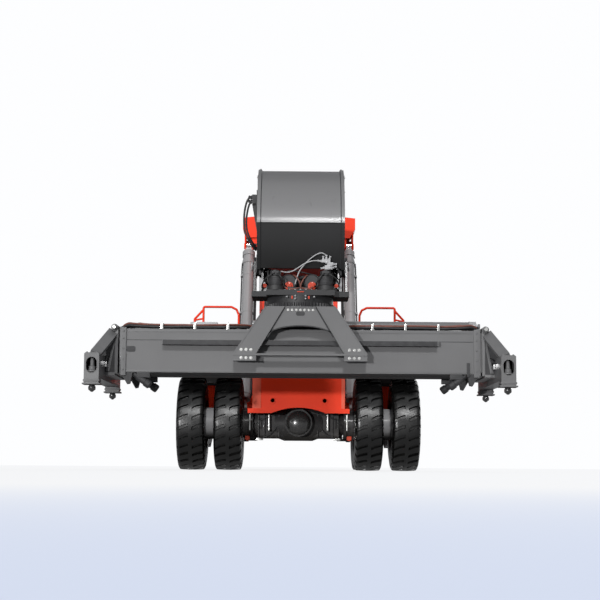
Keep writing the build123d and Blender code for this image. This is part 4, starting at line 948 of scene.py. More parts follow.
def electricBoxes(shape):
    addBox(shape, (-1.62, spreaderY - 0.30, beamTop), (-1.22, spreaderY - 0.08, beamTop + 0.135), 0.008)
    addBox(shape, (1.22, spreaderY + 0.10, beamTop), (1.66, spreaderY + 0.34, beamTop + 0.135), 0.008)
    for x in (-1.55, -1.29):
        addTurned(
            shape, [(0, 0.016), (0.03, 0.016), (0.03, 0.009), (0.055, 0.009)], (x, spreaderY - 0.30, beamTop + 0.05),
            (0, -1, 0), 12
        )


meshPiece("spreader_boxes", "spreader", "rim", electricBoxes)


def spreaderFittings(shape):
    for hand in (-1, 1):
        for index, row in enumerate(spreaderMake["hoseRows"]):
            place = (hand * (0.62 + 0.10 * index), spreaderY + row + 0.22, beamTop + 0.02)
            addTurned(
                shape, [(-0.02, 0.024), (0.035, 0.024), (0.035, 0.019), (0.06, 0.019)], place, (hand * -0.4, 1, 0), 6
            )
        addBox(
            shape, (hand * 0.56, spreaderY - 0.34, beamTop), (hand * 1.10, spreaderY - 0.37, beamTop + 0.055), 0.004
        )


meshPiece("spreader_fittings", "spreader", "steel", spreaderFittings)


def cylinderBands(shape):
    # glands and port blocks of the telescoping cylinders
    for way, hand in ((-1, 1), (1, -1)):
        y, z = spreaderY + way * 0.3, beamTop + 0.095
        addTurned(
            shape, [(-0.10, 0.064), (-0.10, 0.072), (0.0, 0.072), (0.0, 0.040)], (hand * 2.585, y, z), (hand, 0, 0),
            32
        )
        addTurned(
            shape, [(0.0, 0.0), (0.0, 0.068), (0.06, 0.068), (0.06, 0.064)], (-hand * 0.702, y, z), (hand, 0, 0), 32
        )
        for x in (-0.58, 2.42):
            addBox(shape, (hand * x - 0.03, y - 0.025, z + 0.055), (hand * x + 0.03, y + 0.025, z + 0.062), 0.002)


meshPiece("telescope_cylinder_bands", "spreader", "tube", cylinderBands)
print("spreader details made")


# end frames
for side, hand in hands:
    lockX = hand * abs(jointOf(f"lock_front_{side}_turn")["pos_m"][0])
    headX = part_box(f"telescoping_beam_{side}")[1].x if hand > 0 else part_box(f"telescoping_beam_{side}")[0].x

    def endTrim(shape):
        for way in (-1, 1):
            cornerY = spreaderY + way * cornerAway
            # rims round the oval hand holes, bolted corner plates and pin keepers
            rim = []
            for step in range(28):
                angle = 2 * math.pi * step / 28
                rim.append(
                    (0.0755 * math.cos(angle), 0.0345 * (1 if math.sin(angle) > 0 else -1) + 0.0755 * math.sin(angle))
                )
            outer = [shape.verts.new((lockX + x * 1.16, cornerY + way * 0.1062, 1.465 + z * 1.12)) for x, z in rim]
            inner = [shape.verts.new((lockX + x, cornerY + way * 0.1062, 1.465 + z)) for x, z in rim]
            outerBack = [
                shape.verts.new((lockX + x * 1.16, cornerY + way * 0.1048, 1.465 + z * 1.12)) for x, z in rim
            ]
            for step in range(28):
                after = (step + 1) % 28
                shape.faces.new((outer[step], outer[after], inner[after], inner[step]))
                shape.faces.new((outer[step], outerBack[step], outerBack[after], outer[after]))
            addBox(shape, (lockX - 0.095, cornerY - 0.095, 1.628), (lockX + 0.095, cornerY + 0.095, 1.640), 0.004)
            for sx in (-0.07, 0.07):
                for sy in (-0.07, 0.07):
                    addBolt(shape, (lockX + sx, cornerY + sy, 1.640), (0, 0, 1), 0.012, 0.012)
            addTurned(
                shape, [(0.0, 0.040), (0.05, 0.040), (0.055, 0.032), (0.055, 0)],
                (headX + hand * 0.052, spreaderY + way * 0.62, beamTop + 0.015), (0, way, 0), 24
            )
        for way in (-1, 1):
            for z in (1.50, 1.66, 1.82, 1.98):
                addBolt(shape, (headX + hand * 0.04, spreaderY + way * 0.50, z), (hand, 0, 0), 0.014, 0.012)

    meshPiece(f"end_frame_trim_{side}", f"spreader_end_{side}", "grey", endTrim)

    def endWebs(shape):
        # shaded web behind each arm, with a paler brace on it
        for way in (-1, 1):
            face = spreaderY + way * 0.5905
            web = [
                (headX + hand * 0.045, 1.995), (lockX + hand * 0.005, 1.610), (lockX - hand * 0.090, 1.610),
                (lockX - hand * 0.090, 1.405), (headX + hand * 0.045, 1.405)
            ]
            addSlab(shape, web, (face, face + way * 0.006))

    def endBraces(shape):
        # brace on the web and flanges round the foot of each corner
        for way in (-1, 1):
            face = spreaderY + way * 0.5965
            brace = [
                (headX + hand * 0.050, 1.93), (headX + hand * 0.050, 1.80), (headX + hand * 0.115, 1.42),
                (headX + hand * 0.165, 1.42)
            ]
            addSlab(shape, brace, (face, face + way * 0.012))
            cornerY = spreaderY + way * cornerAway
            for low, high, grow in ((1.232, 1.262, 0.010), (1.190, 1.212, 0.022)):
                reach = 0.105 + grow
                addBox(shape, (lockX - reach, cornerY - reach, low), (lockX + reach, cornerY + reach, high), 0.006)
            # shaft and collar of the lock inside the housing
            shaft = [
                (0.0, 0.0), (0.0, 0.072), (0.020, 0.072), (0.028, 0.050), (0.075, 0.046), (0.085, 0.030),
                (0.19, 0.026), (0.20, 0)
            ]
            addTurned(shape, shaft, (lockX, cornerY + way * 0.02, 1.372), (0, 0, 1), 24)

    def pinHeads(shape):
        for way in (-1, 1):
            place = (headX + hand * 0.052, spreaderY + way * 0.675, beamTop + 0.015)
            addTurned(shape, [(0, 0.030), (0.018, 0.030), (0.022, 0.024), (0.022, 0)], place, (0, way, 0), 24)

    meshPiece(f"end_webs_{side}", f"spreader_end_{side}", "plastic", endWebs)
    meshPiece(f"end_braces_{side}", f"spreader_end_{side}", "grey", endBraces)
    meshPiece(f"end_pin_heads_{side}", f"spreader_end_{side}", "bright", pinHeads)
    for place, way in (("front", -1), ("rear", 1)):
        def lockNose(shape):
            # rounded shoulder and nose under the lock's neck
            cornerY = spreaderY + way * cornerAway
            nose = [
                (0.0, 0.0), (0.0, 0.042), (0.03, 0.047), (0.055, 0.046), (0.075, 0.036), (0.095, 0.016), (0.098, 0)
            ]
            addTurned(shape, nose, (lockX, cornerY, 1.186), (0, 0, -1), 32)

        meshPiece(f"lock_nose_{place}_{side}", f"lock_{place}_{side}", "gloss", lockNose)

    def lockDrive(shape):
        # small cylinder and levers that turn the locks, along the back of the cross beam
        for way in (-1, 1):
            cornerY = spreaderY + way * cornerAway
            addTurned(
                shape, [(0, 0.0), (0, 0.028), (0.34, 0.028), (0.34, 0.012), (0.52, 0.012), (0.52, 0)],
                (lockX - hand * 0.128, cornerY - way * 0.62, 1.50), (0, way, 0), 20
            )
            addBox(
                shape, (lockX - hand * 0.105, cornerY - way * 0.14, 1.475),
                (lockX - hand * 0.150, cornerY - way * 0.08, 1.525), 0.004
            )
            for y in (0.60, 0.30):
                addBox(
                    shape, (lockX - hand * 0.105, cornerY - way * y - 0.02, 1.465),
                    (lockX - hand * 0.160, cornerY - way * y + 0.02, 1.535), 0.004
                )

    meshPiece(f"lock_drives_{side}", f"spreader_end_{side}", "steel", lockDrive)
    runs = []
    for way in (-1, 1):
        cornerY = spreaderY + way * cornerAway
        runs.append(
            [
                (headX + hand * 0.055, spreaderY + way * 0.30, 2.02),
                (headX + hand * 0.09, spreaderY + way * 0.34, 1.86),
                (headX + hand * 0.085, spreaderY + way * 0.42, 1.66),
                (lockX - hand * 0.145, cornerY - way * 0.56, 1.60), (lockX - hand * 0.140, cornerY - way * 0.50, 1.54)
            ]
        )
        runs.append(
            [
                (headX + hand * 0.055, spreaderY + way * 0.25, 2.02),
                (headX + hand * 0.12, spreaderY + way * 0.30, 1.84),
                (headX + hand * 0.10, spreaderY + way * 0.46, 1.66),
                (lockX - hand * 0.15, cornerY - way * 0.38, 1.62), (lockX - hand * 0.14, cornerY - way * 0.32, 1.54)
            ]
        )
    hoses(f"end_frame_hoses_{side}", f"spreader_end_{side}", "rubber", runs, 0.010)
print("end frame details made")

# slewing frame
slewMake = {
    "plateFace": 0.852,       # ahead of the spreader's middle
    "legFace": 0.8805,
    "legTop": (0.225, 0.505, 2.349),      # inner and outer edge, height
    "legFoot": (0.630, 0.960, 1.669),
    "topBolts": 7,
    "footBolts": (0.705, 0.775, 0.845),
}


def slewTrim(shape):
    # rolled edges of the legs and the strip under the ring
    for way in (-1, 1):
        face = spreaderY + way * slewMake["legFace"]
        for hand in (-1, 1):
            topIn, topOut, topZ = slewMake["legTop"]
            footIn, footOut, footZ = slewMake["legFoot"]
            for top, foot, turn in ((topOut, footOut, -1), (topIn, footIn, 1)):
                outline = [
                    (hand * top, topZ), (hand * (top + turn * 0.020), topZ), (hand * (foot + turn * 0.020), footZ),
                    (hand * foot, footZ)
                ]
                addSlab(shape, outline, (face, face + way * 0.007))
            addBox(shape, (hand * footIn, face, 1.5625), (hand * footOut, face + way * 0.008, 1.580), 0.004)
        addBox(
            shape, (-0.22, spreaderY + way * slewMake["plateFace"], 2.330),
            (0.22, spreaderY + way * (slewMake["plateFace"] + 0.012), 2.349), 0.003
        )


def slewGaps(shape):
    # shadow gaps between the legs and the plate, and round the arch
    for way in (-1, 1):
        y = spreaderY + way * (slewMake["plateFace"] - 0.0015)
        for hand in (-1, 1):
            outline = [(hand * 0.225, 2.349), (hand * 0.203, 2.349), (hand * 0.462, 1.905), (hand * 0.489, 1.905)]
            addSlab(shape, outline, (y, y + way * 0.004))
        for step in range(36):
            points = []
            for angle, grow in ((step, 1.0), (step + 1, 1.0), (step + 1, 1.045), (step, 1.045)):
                turn = math.pi * angle / 36
                points.append(
                    (0.480 * grow * math.cos(turn), 1.905 + 0.160 * (1 + (grow - 1) * 2.2) * math.sin(turn))
                )
            addSlab(shape, points, (y, y + way * 0.004))


def slewBolts(shape):
    for way in (-1, 1):
        face = spreaderY + way * slewMake["plateFace"]
        for index in range(slewMake["topBolts"]):
            addBolt(shape, (-0.18 + 0.06 * index, face, 2.300), (0, way, 0), 0.014, 0.012)
        for hand in (-1, 1):
            for x in slewMake["footBolts"]:
                for z in (1.722, 1.605):
                    addBolt(shape, (hand * x, spreaderY + way * slewMake["legFace"], z), (0, way, 0), 0.018, 0.016)
    for place in circlePlaces((0, spreaderY, 2.35), (0, 0, 1), 0.535, 40):
        if abs(place.x) > 0.05 and abs(place.x) < 0.49:
            addBolt(shape, place, (0, 0, 1), 0.013, 0.014)


def slewSlot(shape):
    # black plate for the slot in the frame's plate, a painted shade of its opening
    for way in (-1, 1):
        outline = []
        for step in range(24):
            angle = 2 * math.pi * step / 24
            outline.append(
                (
                    0.034 * (1 if math.cos(angle) > 0 else -1) + 0.030 * math.cos(angle),
                    2.247 + 0.032 * math.sin(angle)
                )
            )
        addSlab(shape, outline, (spreaderY + way * 0.851, spreaderY + way * 0.8535))


meshPiece("slew_gaps", "rotator", "plastic", slewGaps)
meshPiece("slew_trim", "rotator", "grey", slewTrim)
meshPiece("slew_bolts", "rotator", "bright", slewBolts)
meshPiece("slew_slots", "rotator", "plastic", slewSlot)


def ringTeeth(shape):
    # toothed edge of the slewing ring, under the yoke's plate
    ring = []
    for step in range(240):
        angle = 2 * math.pi * step / 240
        radius = 0.512 if step % 4 in (0, 1) else 0.497
        ring.append((radius * math.cos(angle), spreaderY + radius * math.sin(angle)))
    addSlab(shape, ring, (2.395, 2.455), "Z")
    addTurned(shape, band(0, 0.018, 0.496, 0.520), (0, spreaderY, 2.372), (0, 0, 1), 96)


meshPiece("slew_ring_teeth", "rotator", "dark", ringTeeth)

# yoke: motors, valves, pins and hoses
yokeMake = {"motorBolts": 8, "plateZ": 2.64, "pinFace": 0.7205, "valve": (0.41, -0.36, 2.955)}
motorX, motorY, motorLow = 0.37, spreaderY - 0.39, yokeMake["plateZ"]


def motorParts(shape):
    for hand in (-1, 1):
        x = hand * motorX
        profile = [
            (0.0, 0.095), (0.018, 0.095), (0.020, 0.060), (0.070, 0.060), (0.074, 0.098), (0.090, 0.106),
            (0.186, 0.106), (0.200, 0.098), (0.206, 0.085), (0.206, 0.0)
        ]
        addTurned(shape, profile, (x, motorY, motorLow), (0, 0, 1), 40)
        for rise in (0.105, 0.140, 0.172):
            addTurned(
                shape, [(0, 0.104), (0.004, 0.109), (0.010, 0.109), (0.014, 0.104)], (x, motorY, motorLow + rise),
                (0, 0, 1), 40
            )
        addTurned(
            shape, [(0.284, 0.0), (0.284, 0.050), (0.300, 0.046), (0.305, 0.0)], (x, motorY, motorLow), (0, 0, 1), 28
        )
        for place in circlePlaces((x, motorY, motorLow + 0.206), (0, 0, 1), 0.078, yokeMake["motorBolts"]):
            addBolt(shape, place, (0, 0, 1), 0.011, 0.012)
        for place in circlePlaces((x, motorY, motorLow + 0.018), (0, 0, 1), 0.080, 10):
            addBolt(shape, place, (0, 0, 1), 0.010, 0.010)
        addBox(
            shape, (x - 0.055, motorY - 0.105, motorLow + 0.215), (x + 0.055, motorY - 0.02, motorLow + 0.275), 0.008
        )
        addBox(shape, (x - 0.035, motorY + 0.02, motorLow + 0.21), (x + 0.035, motorY + 0.12, motorLow + 0.27), 0.006)
        for turn in (-0.028, 0.028):
            addTurned(
                shape, [(0, 0.018), (0.022, 0.018), (0.022, 0.012), (0.045, 0.012)],
                (x + turn, motorY - 0.105, motorLow + 0.245), (0, -1, 0), 6
            )


meshPiece("slew_motor_parts", "yoke", "plastic", motorParts)


def yokeCasings(shape):
    # round casings behind the motors, a cross plate with ribs and gussets at the ears
    floorZ = yokeMake["plateZ"]
    for hand in (-1, 1):
        profile = [
            (-0.20, 0.0), (-0.20, 0.10), (-0.185, 0.118), (-0.06, 0.135), (0.06, 0.135), (0.12, 0.11), (0.12, 0.0)
        ]
        addTurned(shape, profile, (hand * 0.17, spreaderY - 0.12, 2.775), (0, 1, 0), 40)
        addSlab(
            shape, [(hand * 0.62, floorZ), (hand * 0.34, floorZ), (hand * 0.60, 2.93), (hand * 0.62, 2.93)],
            (spreaderY + 0.10, spreaderY + 0.125)
        )
        addBox(shape, (hand * 0.585, spreaderY - 0.17, 2.90), (hand * 0.62, spreaderY + 0.17, 3.02), 0.006)
    addBox(shape, (-0.57, spreaderY + 0.02, floorZ), (0.57, spreaderY + 0.045, 2.90), 0.006)
    addBox(shape, (-0.57, spreaderY + 0.01, 2.895), (0.57, spreaderY + 0.075, 2.915), 0.005)
    for x in (-0.44, -0.33, 0.0, 0.33, 0.44):
        addBox(shape, (x - 0.008, spreaderY - 0.06, floorZ), (x + 0.008, spreaderY + 0.02, 2.86), 0.003)
    addBox(shape, (-0.13, spreaderY - 0.32, floorZ), (0.13, spreaderY - 0.20, 2.70), 0.008)
    addBox(shape, (-0.19, spreaderY - 0.42, floorZ), (-0.09, spreaderY - 0.34, 2.69), 0.006)


def yokeReds(shape):
    for hand in (-1, 1):
        profile = [(0, 0.0), (0, 0.060), (0.010, 0.064), (0.030, 0.060), (0.034, 0.036), (0.055, 0.032), (0.058, 0.0)]
        addTurned(shape, profile, (hand * 0.17, spreaderY - 0.32, 2.715), (0, -1, 0), 32)
        addBox(shape, (hand * 0.11, spreaderY - 0.515, 2.503), (hand * 0.135, spreaderY - 0.500, 2.545), 0.003)
        addTurned(
            shape, [(0, 0.030), (0.02, 0.034), (0.05, 0.030), (0.05, 0.0)], (hand * 0.53, spreaderY - 0.28, 2.72),
            (0, -1, 0), 24
        )
    addBox(shape, (-0.05, spreaderY - 0.515, 2.600), (0.05, spreaderY - 0.495, 2.614), 0.002)


def yokeSteel(shape):
    # valve cluster on the right motor, fittings, grease nipples and the pins' keepers
    x, y, z = yokeMake["valve"][0], spreaderY + yokeMake["valve"][1], yokeMake["valve"][2]
    addBox(shape, (x - 0.055, y - 0.035, z), (x + 0.055, y + 0.035, z + 0.065), 0.006)
    addBox(shape, (x - 0.10, y - 0.025, z + 0.105), (x + 0.03, y + 0.025, z + 0.150), 0.006)
    addBox(shape, (x - 0.02, y - 0.03, z + 0.060), (x + 0.07, y + 0.02, z + 0.110), 0.005)
    for dx, dz, axis, tall in (
        (-0.075, 0.15, (0, 0, 1), 0.055), (-0.03, 0.15, (0, 0, 1), 0.075), (0.01, 0.15, (0.4, 0, 1), 0.06),
        (-0.10, 0.128, (-1, 0, 0.1), 0.06), (0.055, 0.03, (1, 0, 0.3), 0.07), (0.07, 0.085, (1, 0, 0), 0.055),
        (-0.055, 0.03, (-1, 0, -0.2), 0.06), (0.03, 0.06, (0.2, -1, 0), 0.05), (-0.03, 0.10, (0, -1, 0.2), 0.05),
        (0.02, 0.02, (0, -1, 0), 0.06),
    ):
        profile = [
            (0, 0.019), (tall * 0.35, 0.019), (tall * 0.36, 0.013), (tall * 0.7, 0.013), (tall * 0.71, 0.017),
            (tall, 0.017)
        ]
        addTurned(shape, profile, (x + dx, y, z + dz), axis, 6)
    for hand in (-1, 1):
        addTurned(
            shape, [(0, 0.075), (0.012, 0.075), (0.016, 0.06), (0.016, 0)],
            (hand * yokeMake["pinFace"], spreaderY, yokePinZ), (hand, 0, 0), 32
        )
        for place in circlePlaces((hand * yokeMake["pinFace"], spreaderY, yokePinZ), (hand, 0, 0), 0.045, 3, 0.5):
            addBolt(shape, Vector(place) + Vector((hand * 0.016, 0, 0)), (hand, 0, 0), 0.010, 0.010, False)
        for dz in (-0.02, 0.02):
            addTurned(
                shape, [(0, 0.013), (0.03, 0.013), (0.03, 0.009), (0.05, 0.009)],
                (hand * 0.075, spreaderY - 0.498, 2.525 + dz), (0, -1, 0), 6
            )
        addTurned(
            shape, [(0, 0.016), (0.02, 0.016), (0.03, 0.010), (0.05, 0.010)], (hand * 0.20, spreaderY - 0.498, 2.530),
            (0, -1, 0), 6
        )
    for place in circlePlaces((0, spreaderY, 2.6405), (0, 0, 1), 0.455, 36):
        addBolt(shape, place, (0, 0, 1), 0.013, 0.016)


def yokeGussets(shape):
    for hand in (-1, 1):
        outline = [
            (hand * 0.615, yokeMake["plateZ"]), (hand * 0.44, yokeMake["plateZ"]), (hand * 0.47, 2.70),
            (hand * 0.575, 2.84), (hand * 0.615, 2.86)
        ]
        addSlab(shape, outline, (spreaderY - 0.20, spreaderY - 0.175))


meshPiece("yoke_gussets", "yoke", "rim", yokeGussets)
meshPiece("yoke_casings", "yoke", "plastic", yokeCasings)
meshPiece("yoke_red_caps", "yoke", "orange", yokeReds)
meshPiece("yoke_valves", "yoke", "rim", yokeSteel)
y = spreaderY
hoses(
    "yoke_light_hoses", "yoke", "rim",
    [
        [
            (0.31, y - 0.36, 3.08), (0.22, y - 0.37, 3.10), (0.06, y - 0.38, 3.05), (-0.06, y - 0.38, 2.96),
            (-0.18, y - 0.38, 2.90), (-0.32, y - 0.40, 2.93), (-0.37, y - 0.42, 2.90)
        ],
        [
            (0.38, y - 0.36, 3.16), (0.34, y - 0.38, 3.22), (0.20, y - 0.38, 3.17), (0.04, y - 0.37, 3.02),
            (-0.04, y - 0.36, 2.90), (-0.08, y - 0.34, 2.74)
        ]
    ],
    0.0095
)
hoses(
    "yoke_brown_hoses", "yoke", "brownHose",
    [
        [
            (0.0, y - 0.34, 2.66), (0.0, y - 0.36, 2.74), (-0.03, y - 0.37, 2.80), (-0.075, y - 0.36, 2.86),
            (-0.10, y - 0.30, 2.88)
        ],
        [
            (0.0, y - 0.345, 2.66), (0.002, y - 0.365, 2.73), (0.035, y - 0.375, 2.80), (0.08, y - 0.365, 2.86),
            (0.10, y - 0.30, 2.88)
        ],
        [
            (0.17, y - 0.375, 2.70), (0.17, y - 0.42, 2.66), (0.12, y - 0.45, 2.655), (0.05, y - 0.44, 2.66),
            (0.02, y - 0.40, 2.68)
        ],
        [
            (-0.17, y - 0.375, 2.70), (-0.17, y - 0.42, 2.66), (-0.12, y - 0.45, 2.655), (-0.06, y - 0.44, 2.66),
            (-0.03, y - 0.40, 2.68)
        ]
    ],
    0.011
)
hoses(
    "yoke_black_hoses", "yoke", "rubber",
    [
        [
            (-0.40, y - 0.49, 2.885), (-0.43, y - 0.54, 2.86), (-0.52, y - 0.50, 2.80), (-0.57, y - 0.38, 2.72),
            (-0.57, y - 0.20, 2.68), (-0.50, y - 0.08, 2.68)
        ],
        [
            (-0.34, y - 0.49, 2.885), (-0.30, y - 0.55, 2.84), (-0.24, y - 0.50, 2.76), (-0.22, y - 0.36, 2.68),
            (-0.16, y - 0.22, 2.72)
        ],
        [
            (0.40, y - 0.49, 2.885), (0.44, y - 0.54, 2.86), (0.53, y - 0.50, 2.80), (0.57, y - 0.38, 2.72),
            (0.57, y - 0.20, 2.68), (0.50, y - 0.08, 2.68)
        ],
        [
            (0.34, y - 0.49, 2.885), (0.30, y - 0.55, 2.84), (0.24, y - 0.50, 2.76), (0.22, y - 0.36, 2.68),
            (0.16, y - 0.22, 2.72)
        ],
        [
            (0.46, y - 0.36, 2.985), (0.54, y - 0.37, 3.00), (0.585, y - 0.33, 2.90), (0.58, y - 0.22, 2.76),
            (0.56, y - 0.10, 2.70)
        ],
        [
            (-0.25, y - 0.18, 2.90), (-0.20, y - 0.26, 2.96), (-0.05, y - 0.30, 2.94), (0.10, y - 0.28, 2.91),
            (0.24, y - 0.20, 2.89)
        ]
    ],
    0.010
)
looseRuns = []
for hand in (-1, 1):
    for index in range(4):
        x, back = hand * (0.575 - 0.045 * index), y + 0.10 + 0.03 * index
        looseRuns.append(
            [
                (x, back, 2.66), (x - hand * 0.01, back + 0.02, 2.84),
                (x - hand * 0.03, back - 0.02, 2.99 - 0.012 * index),
                (x - hand * 0.07, back - 0.10, 3.03 - 0.015 * index), (x - hand * 0.10, back - 0.14, 2.92),
                (x - hand * 0.08, back - 0.12, 2.80)
            ]
        )
hoses("yoke_loose_hoses", "yoke", "rubber", looseRuns, 0.024)
print("slewing frame and yoke made")

# boom head
foldPlace = Vector((0, spreaderY - 0.500, foldZ))
noseTop = boomPlace(0, -9.9, 0.799)
noseBulge = Vector((0, noseTop.y - 0.72 * (noseTop.y - foldPlace.y), noseTop.z - 0.34 * (noseTop.z - foldPlace.z)))
headMake = {"plateX": 0.60, "sideX": 0.6505, "seam": 0.007, "hoseRadius": 0.015}
headCovers = ((4.30, 0.20), (3.80, 0.24))           # height and half width of the bolted covers


def curveThrough(first, second, third, steps):
    # points on the circle through three places in the YZ plane
    ax, ay, bx, by, cx, cy = first.y, first.z, second.y, second.z, third.y, third.z
    double = 2 * (ax * (by - cy) + bx * (cy - ay) + cx * (ay - by))
    ux = (
        (ax * ax + ay * ay) * (by - cy) + (bx * bx + by * by) * (cy - ay) + (cx * cx + cy * cy) * (ay - by)
    ) / double
    uy = (
        (ax * ax + ay * ay) * (cx - bx) + (bx * bx + by * by) * (ax - cx) + (cx * cx + cy * cy) * (bx - ax)
    ) / double
    radius = math.hypot(ax - ux, ay - uy)
    start = math.atan2(ay - uy, ax - ux)
    finish = math.atan2(cy - uy, cx - ux)
    if finish - start > math.pi:
        finish -= 2 * math.pi
    if start - finish > math.pi:
        finish += 2 * math.pi
    for step in range(steps + 1):
        angle = start + (finish - start) * step / steps
        yield ux + radius * math.cos(angle), uy + radius * math.sin(angle), math.cos(angle), math.sin(angle)


def headSeams(shape):
    # weld beads where the folded plates meet the side plates
    profile = [
        (py - ny * 0.020, pz - nz * 0.020) for py, pz, ny, nz in curveThrough(noseTop, noseBulge, foldPlace, 30)
    ]
    profile.append((spreaderY - 0.270, 2.990))
    for hand in (-1, 1):
        x = hand * (headMake["plateX"] - 0.004)
        for (y0, z0), (y1, z1) in zip(profile, profile[1:]):
            start = Vector((x, y0, z0))
            line = Vector((x, y1, z1)) - start
            addTurned(shape, [(-0.002, headMake["seam"]), (line.length + 0.002, headMake["seam"])], start, line, 8)
    # bead along the fold
    addTurned(shape, [(0, 0.006), (1.2, 0.006)], (-0.6, foldPlace.y + 0.020, foldPlace.z), (1, 0, 0), 8)


def headBracket(shape):
    # block on the left side that the hoses pass through, with its foot plate
    addBox(shape, (-0.735, spreaderY - 0.13, 3.985), (-0.6505, spreaderY + 0.03, 4.125), 0.006)
    addBox(shape, (-0.665, spreaderY - 0.20, 3.93), (-0.6505, spreaderY + 0.12, 4.18), 0.004)
    addSlab(shape, [(-0.652, 3.985), (-0.735, 3.985), (-0.652, 3.52)], (spreaderY - 0.08, spreaderY - 0.065))
    for z in (4.02, 4.085):
        for x in (-0.70, -0.735):
            addTurned(
                shape, [(0, 0.030), (0.02, 0.030), (0.02, 0.023), (0.06, 0.023)], (x, spreaderY - 0.05, z),
                (-1, 0, 0.35), 6
            )


def headSide(shape):
    # lifting eyes, bosses round the pins and bolted covers on the side plates
    for hand in (-1, 1):
        x = hand * headMake["sideX"]
        for z, wide in headCovers:
            addBox(
                shape, (x, spreaderY + 0.15 - wide, z - 0.14), (x + hand * 0.006, spreaderY + 0.15 + wide, z + 0.14),
                0.004
            )
        addTurned(
            shape, [(0.0, 0.165), (0.0, 0.185), (0.012, 0.180), (0.012, 0.125), (0.0, 0.12)],
            (x, spreaderY, yokePinZ), (hand, 0, 0), 40
        )
        addTurned(
            shape, band(-0.012, 0.012, 0.030, 0.055, True), (hand * 0.625, noseTop.y + 0.05, noseTop.z - 0.012),
            (1, 0, 0), 24
        )


def headBolts(shape):
    for hand in (-1, 1):
        x = hand * (headMake["sideX"] + 0.006)
        for z, wide in headCovers:
            for sy in (-1, 1):
                for sz in (-1, 1):
                    addBolt(
                        shape, (x, spreaderY + 0.15 + sy * (wide - 0.03), z + sz * 0.11), (hand, 0, 0), 0.011, 0.010
                    )


meshPiece("head_seams", "inner_boom", "dark", headSeams)
meshPiece("head_hose_bracket", "inner_boom", "dark", headBracket)
meshPiece("head_side_plates", "inner_boom", "grey", headSide)
meshPiece("head_side_bolts", "inner_boom", "bright", headBolts)
hoses(
    "head_hose_loops", "inner_boom", "rubber",
    [
        [
            (-0.75, y - 0.05, 4.10), (-0.79, y - 0.05, 4.09), (-0.835, y - 0.04, 3.98), (-0.860, y - 0.02, 3.80),
            (-0.850, y, 3.60), (-0.79, y + 0.02, 3.45), (-0.72, y + 0.06, 3.36), (-0.68, y + 0.16, 3.32)
        ],
        [
            (-0.75, y - 0.03, 4.03), (-0.775, y - 0.03, 4.01), (-0.805, y - 0.02, 3.90), (-0.825, y, 3.76),
            (-0.815, y + 0.02, 3.60), (-0.765, y + 0.04, 3.48), (-0.71, y + 0.10, 3.40), (-0.675, y + 0.20, 3.36)
        ],
        [(-0.70, y + 0.02, 4.10), (-0.72, y + 0.12, 4.12), (-0.71, y + 0.40, 4.14), (-0.70, y + 0.80, 4.17)]
    ],
    headMake["hoseRadius"]
)
print("boom head made")

# boom: extension pipes, collar bolts, wear plates and lifting eyes
boomMake = {"half": 0.56, "low": -0.26, "high": 0.86, "collar": 0.045, "pipeRadius": 0.017}


def addBoomBox(shape, xs, alongs, ups, edge=0.004):
    centre = boomPlace(sum(xs) / 2, sum(alongs) / 2, sum(ups) / 2)
    half = Vector((abs(xs[1] - xs[0]), abs(alongs[1] - alongs[0]), abs(ups[1] - ups[0]))) / 2
    tilt = Matrix.Rotation(math.atan2(boomAxis.z, boomAxis.y), 4, "X")
    addBox(shape, centre - half, centre + half, edge, tilt)


def collarBolts(shape):
    edge = boomMake["half"] + boomMake["collar"]
    for hand in (-1, 1):
        for along in (-7.24, -7.13, -7.02):
            for up in (-0.20, 0.02, 0.24, 0.46, 0.68, 0.82):
                addBolt(shape, boomPlace(hand * edge, along, up), (hand, 0, 0), 0.015, 0.012)
        for x in (0.12, 0.30, 0.48):
            for along in (-7.22, -7.04):
                addBolt(
                    shape, boomPlace(hand * x, along, boomMake["high"] + boomMake["collar"]), boomUp, 0.015, 0.012
                )


def boomPlates(shape):
    # doubler plates, ribs and lifting eyes on the outer boom
    half = boomMake["half"]
    for hand in (-1, 1):
        for first, last in ((-6.85, -6.62), (-4.3, -4.12), (-1.9, -1.72), (-0.55, -0.40)):
            addBoomBox(
                shape, (hand * half, hand * (half + 0.010)), (first, last),
                (boomMake["low"] + 0.02, boomMake["high"] - 0.02)
            )
        addBoomBox(
            shape, (hand * half, hand * (half + 0.014)), (-6.62, 0.40),
            (boomMake["low"] + 0.004, boomMake["low"] + 0.060)
        )
        addBoomBox(
            shape, (hand * half, hand * (half + 0.014)), (-6.62, 0.40),
            (boomMake["high"] - 0.060, boomMake["high"] - 0.004)
        )
        addTurned(
            shape, [(0, 0.18), (0, 0.26), (0.014, 0.26), (0.02, 0.18)], boomPlace(hand * half, 0, 0), (hand, 0, 0), 48
        )
        for along in (-6.2, -0.9):
            eye = boomPlace(hand * 0.42, along, boomMake["high"] + 0.075)
            addTurned(shape, band(-0.012, 0.012, 0.035, 0.075, True), eye, (1, 0, 0), 28)
            addBoomBox(
                shape, (hand * 0.42 - 0.012, hand * 0.42 + 0.012), (along - 0.07, along + 0.07),
                (boomMake["high"], boomMake["high"] + 0.03)
            )
    for along in (-5.6, -4.4, -3.2, -2.0):
        addBoomBox(shape, (-0.10, 0.10), (along - 0.05, along + 0.05), (boomMake["high"], boomMake["high"] + 0.035))


def boomClamps(shape):
    for along in (-6.4, -5.4, -4.4, -3.4, -2.4, -1.4, -0.4):
        addBoomBox(shape, (-0.60, -0.574), (along - 0.025, along + 0.025), (0.24, 0.46))
        for up in (0.26, 0.44):
            addBolt(shape, boomPlace(-0.600, along, up), (-1, 0, 0), 0.010, 0.010, False)
    for along in (-5.6, -4.4, -3.2, -2.0):
        addBoomBox(
            shape, (-0.075, 0.075), (along - 0.03, along + 0.03), (boomMake["high"] + 0.034, boomMake["high"] + 0.066)
        )


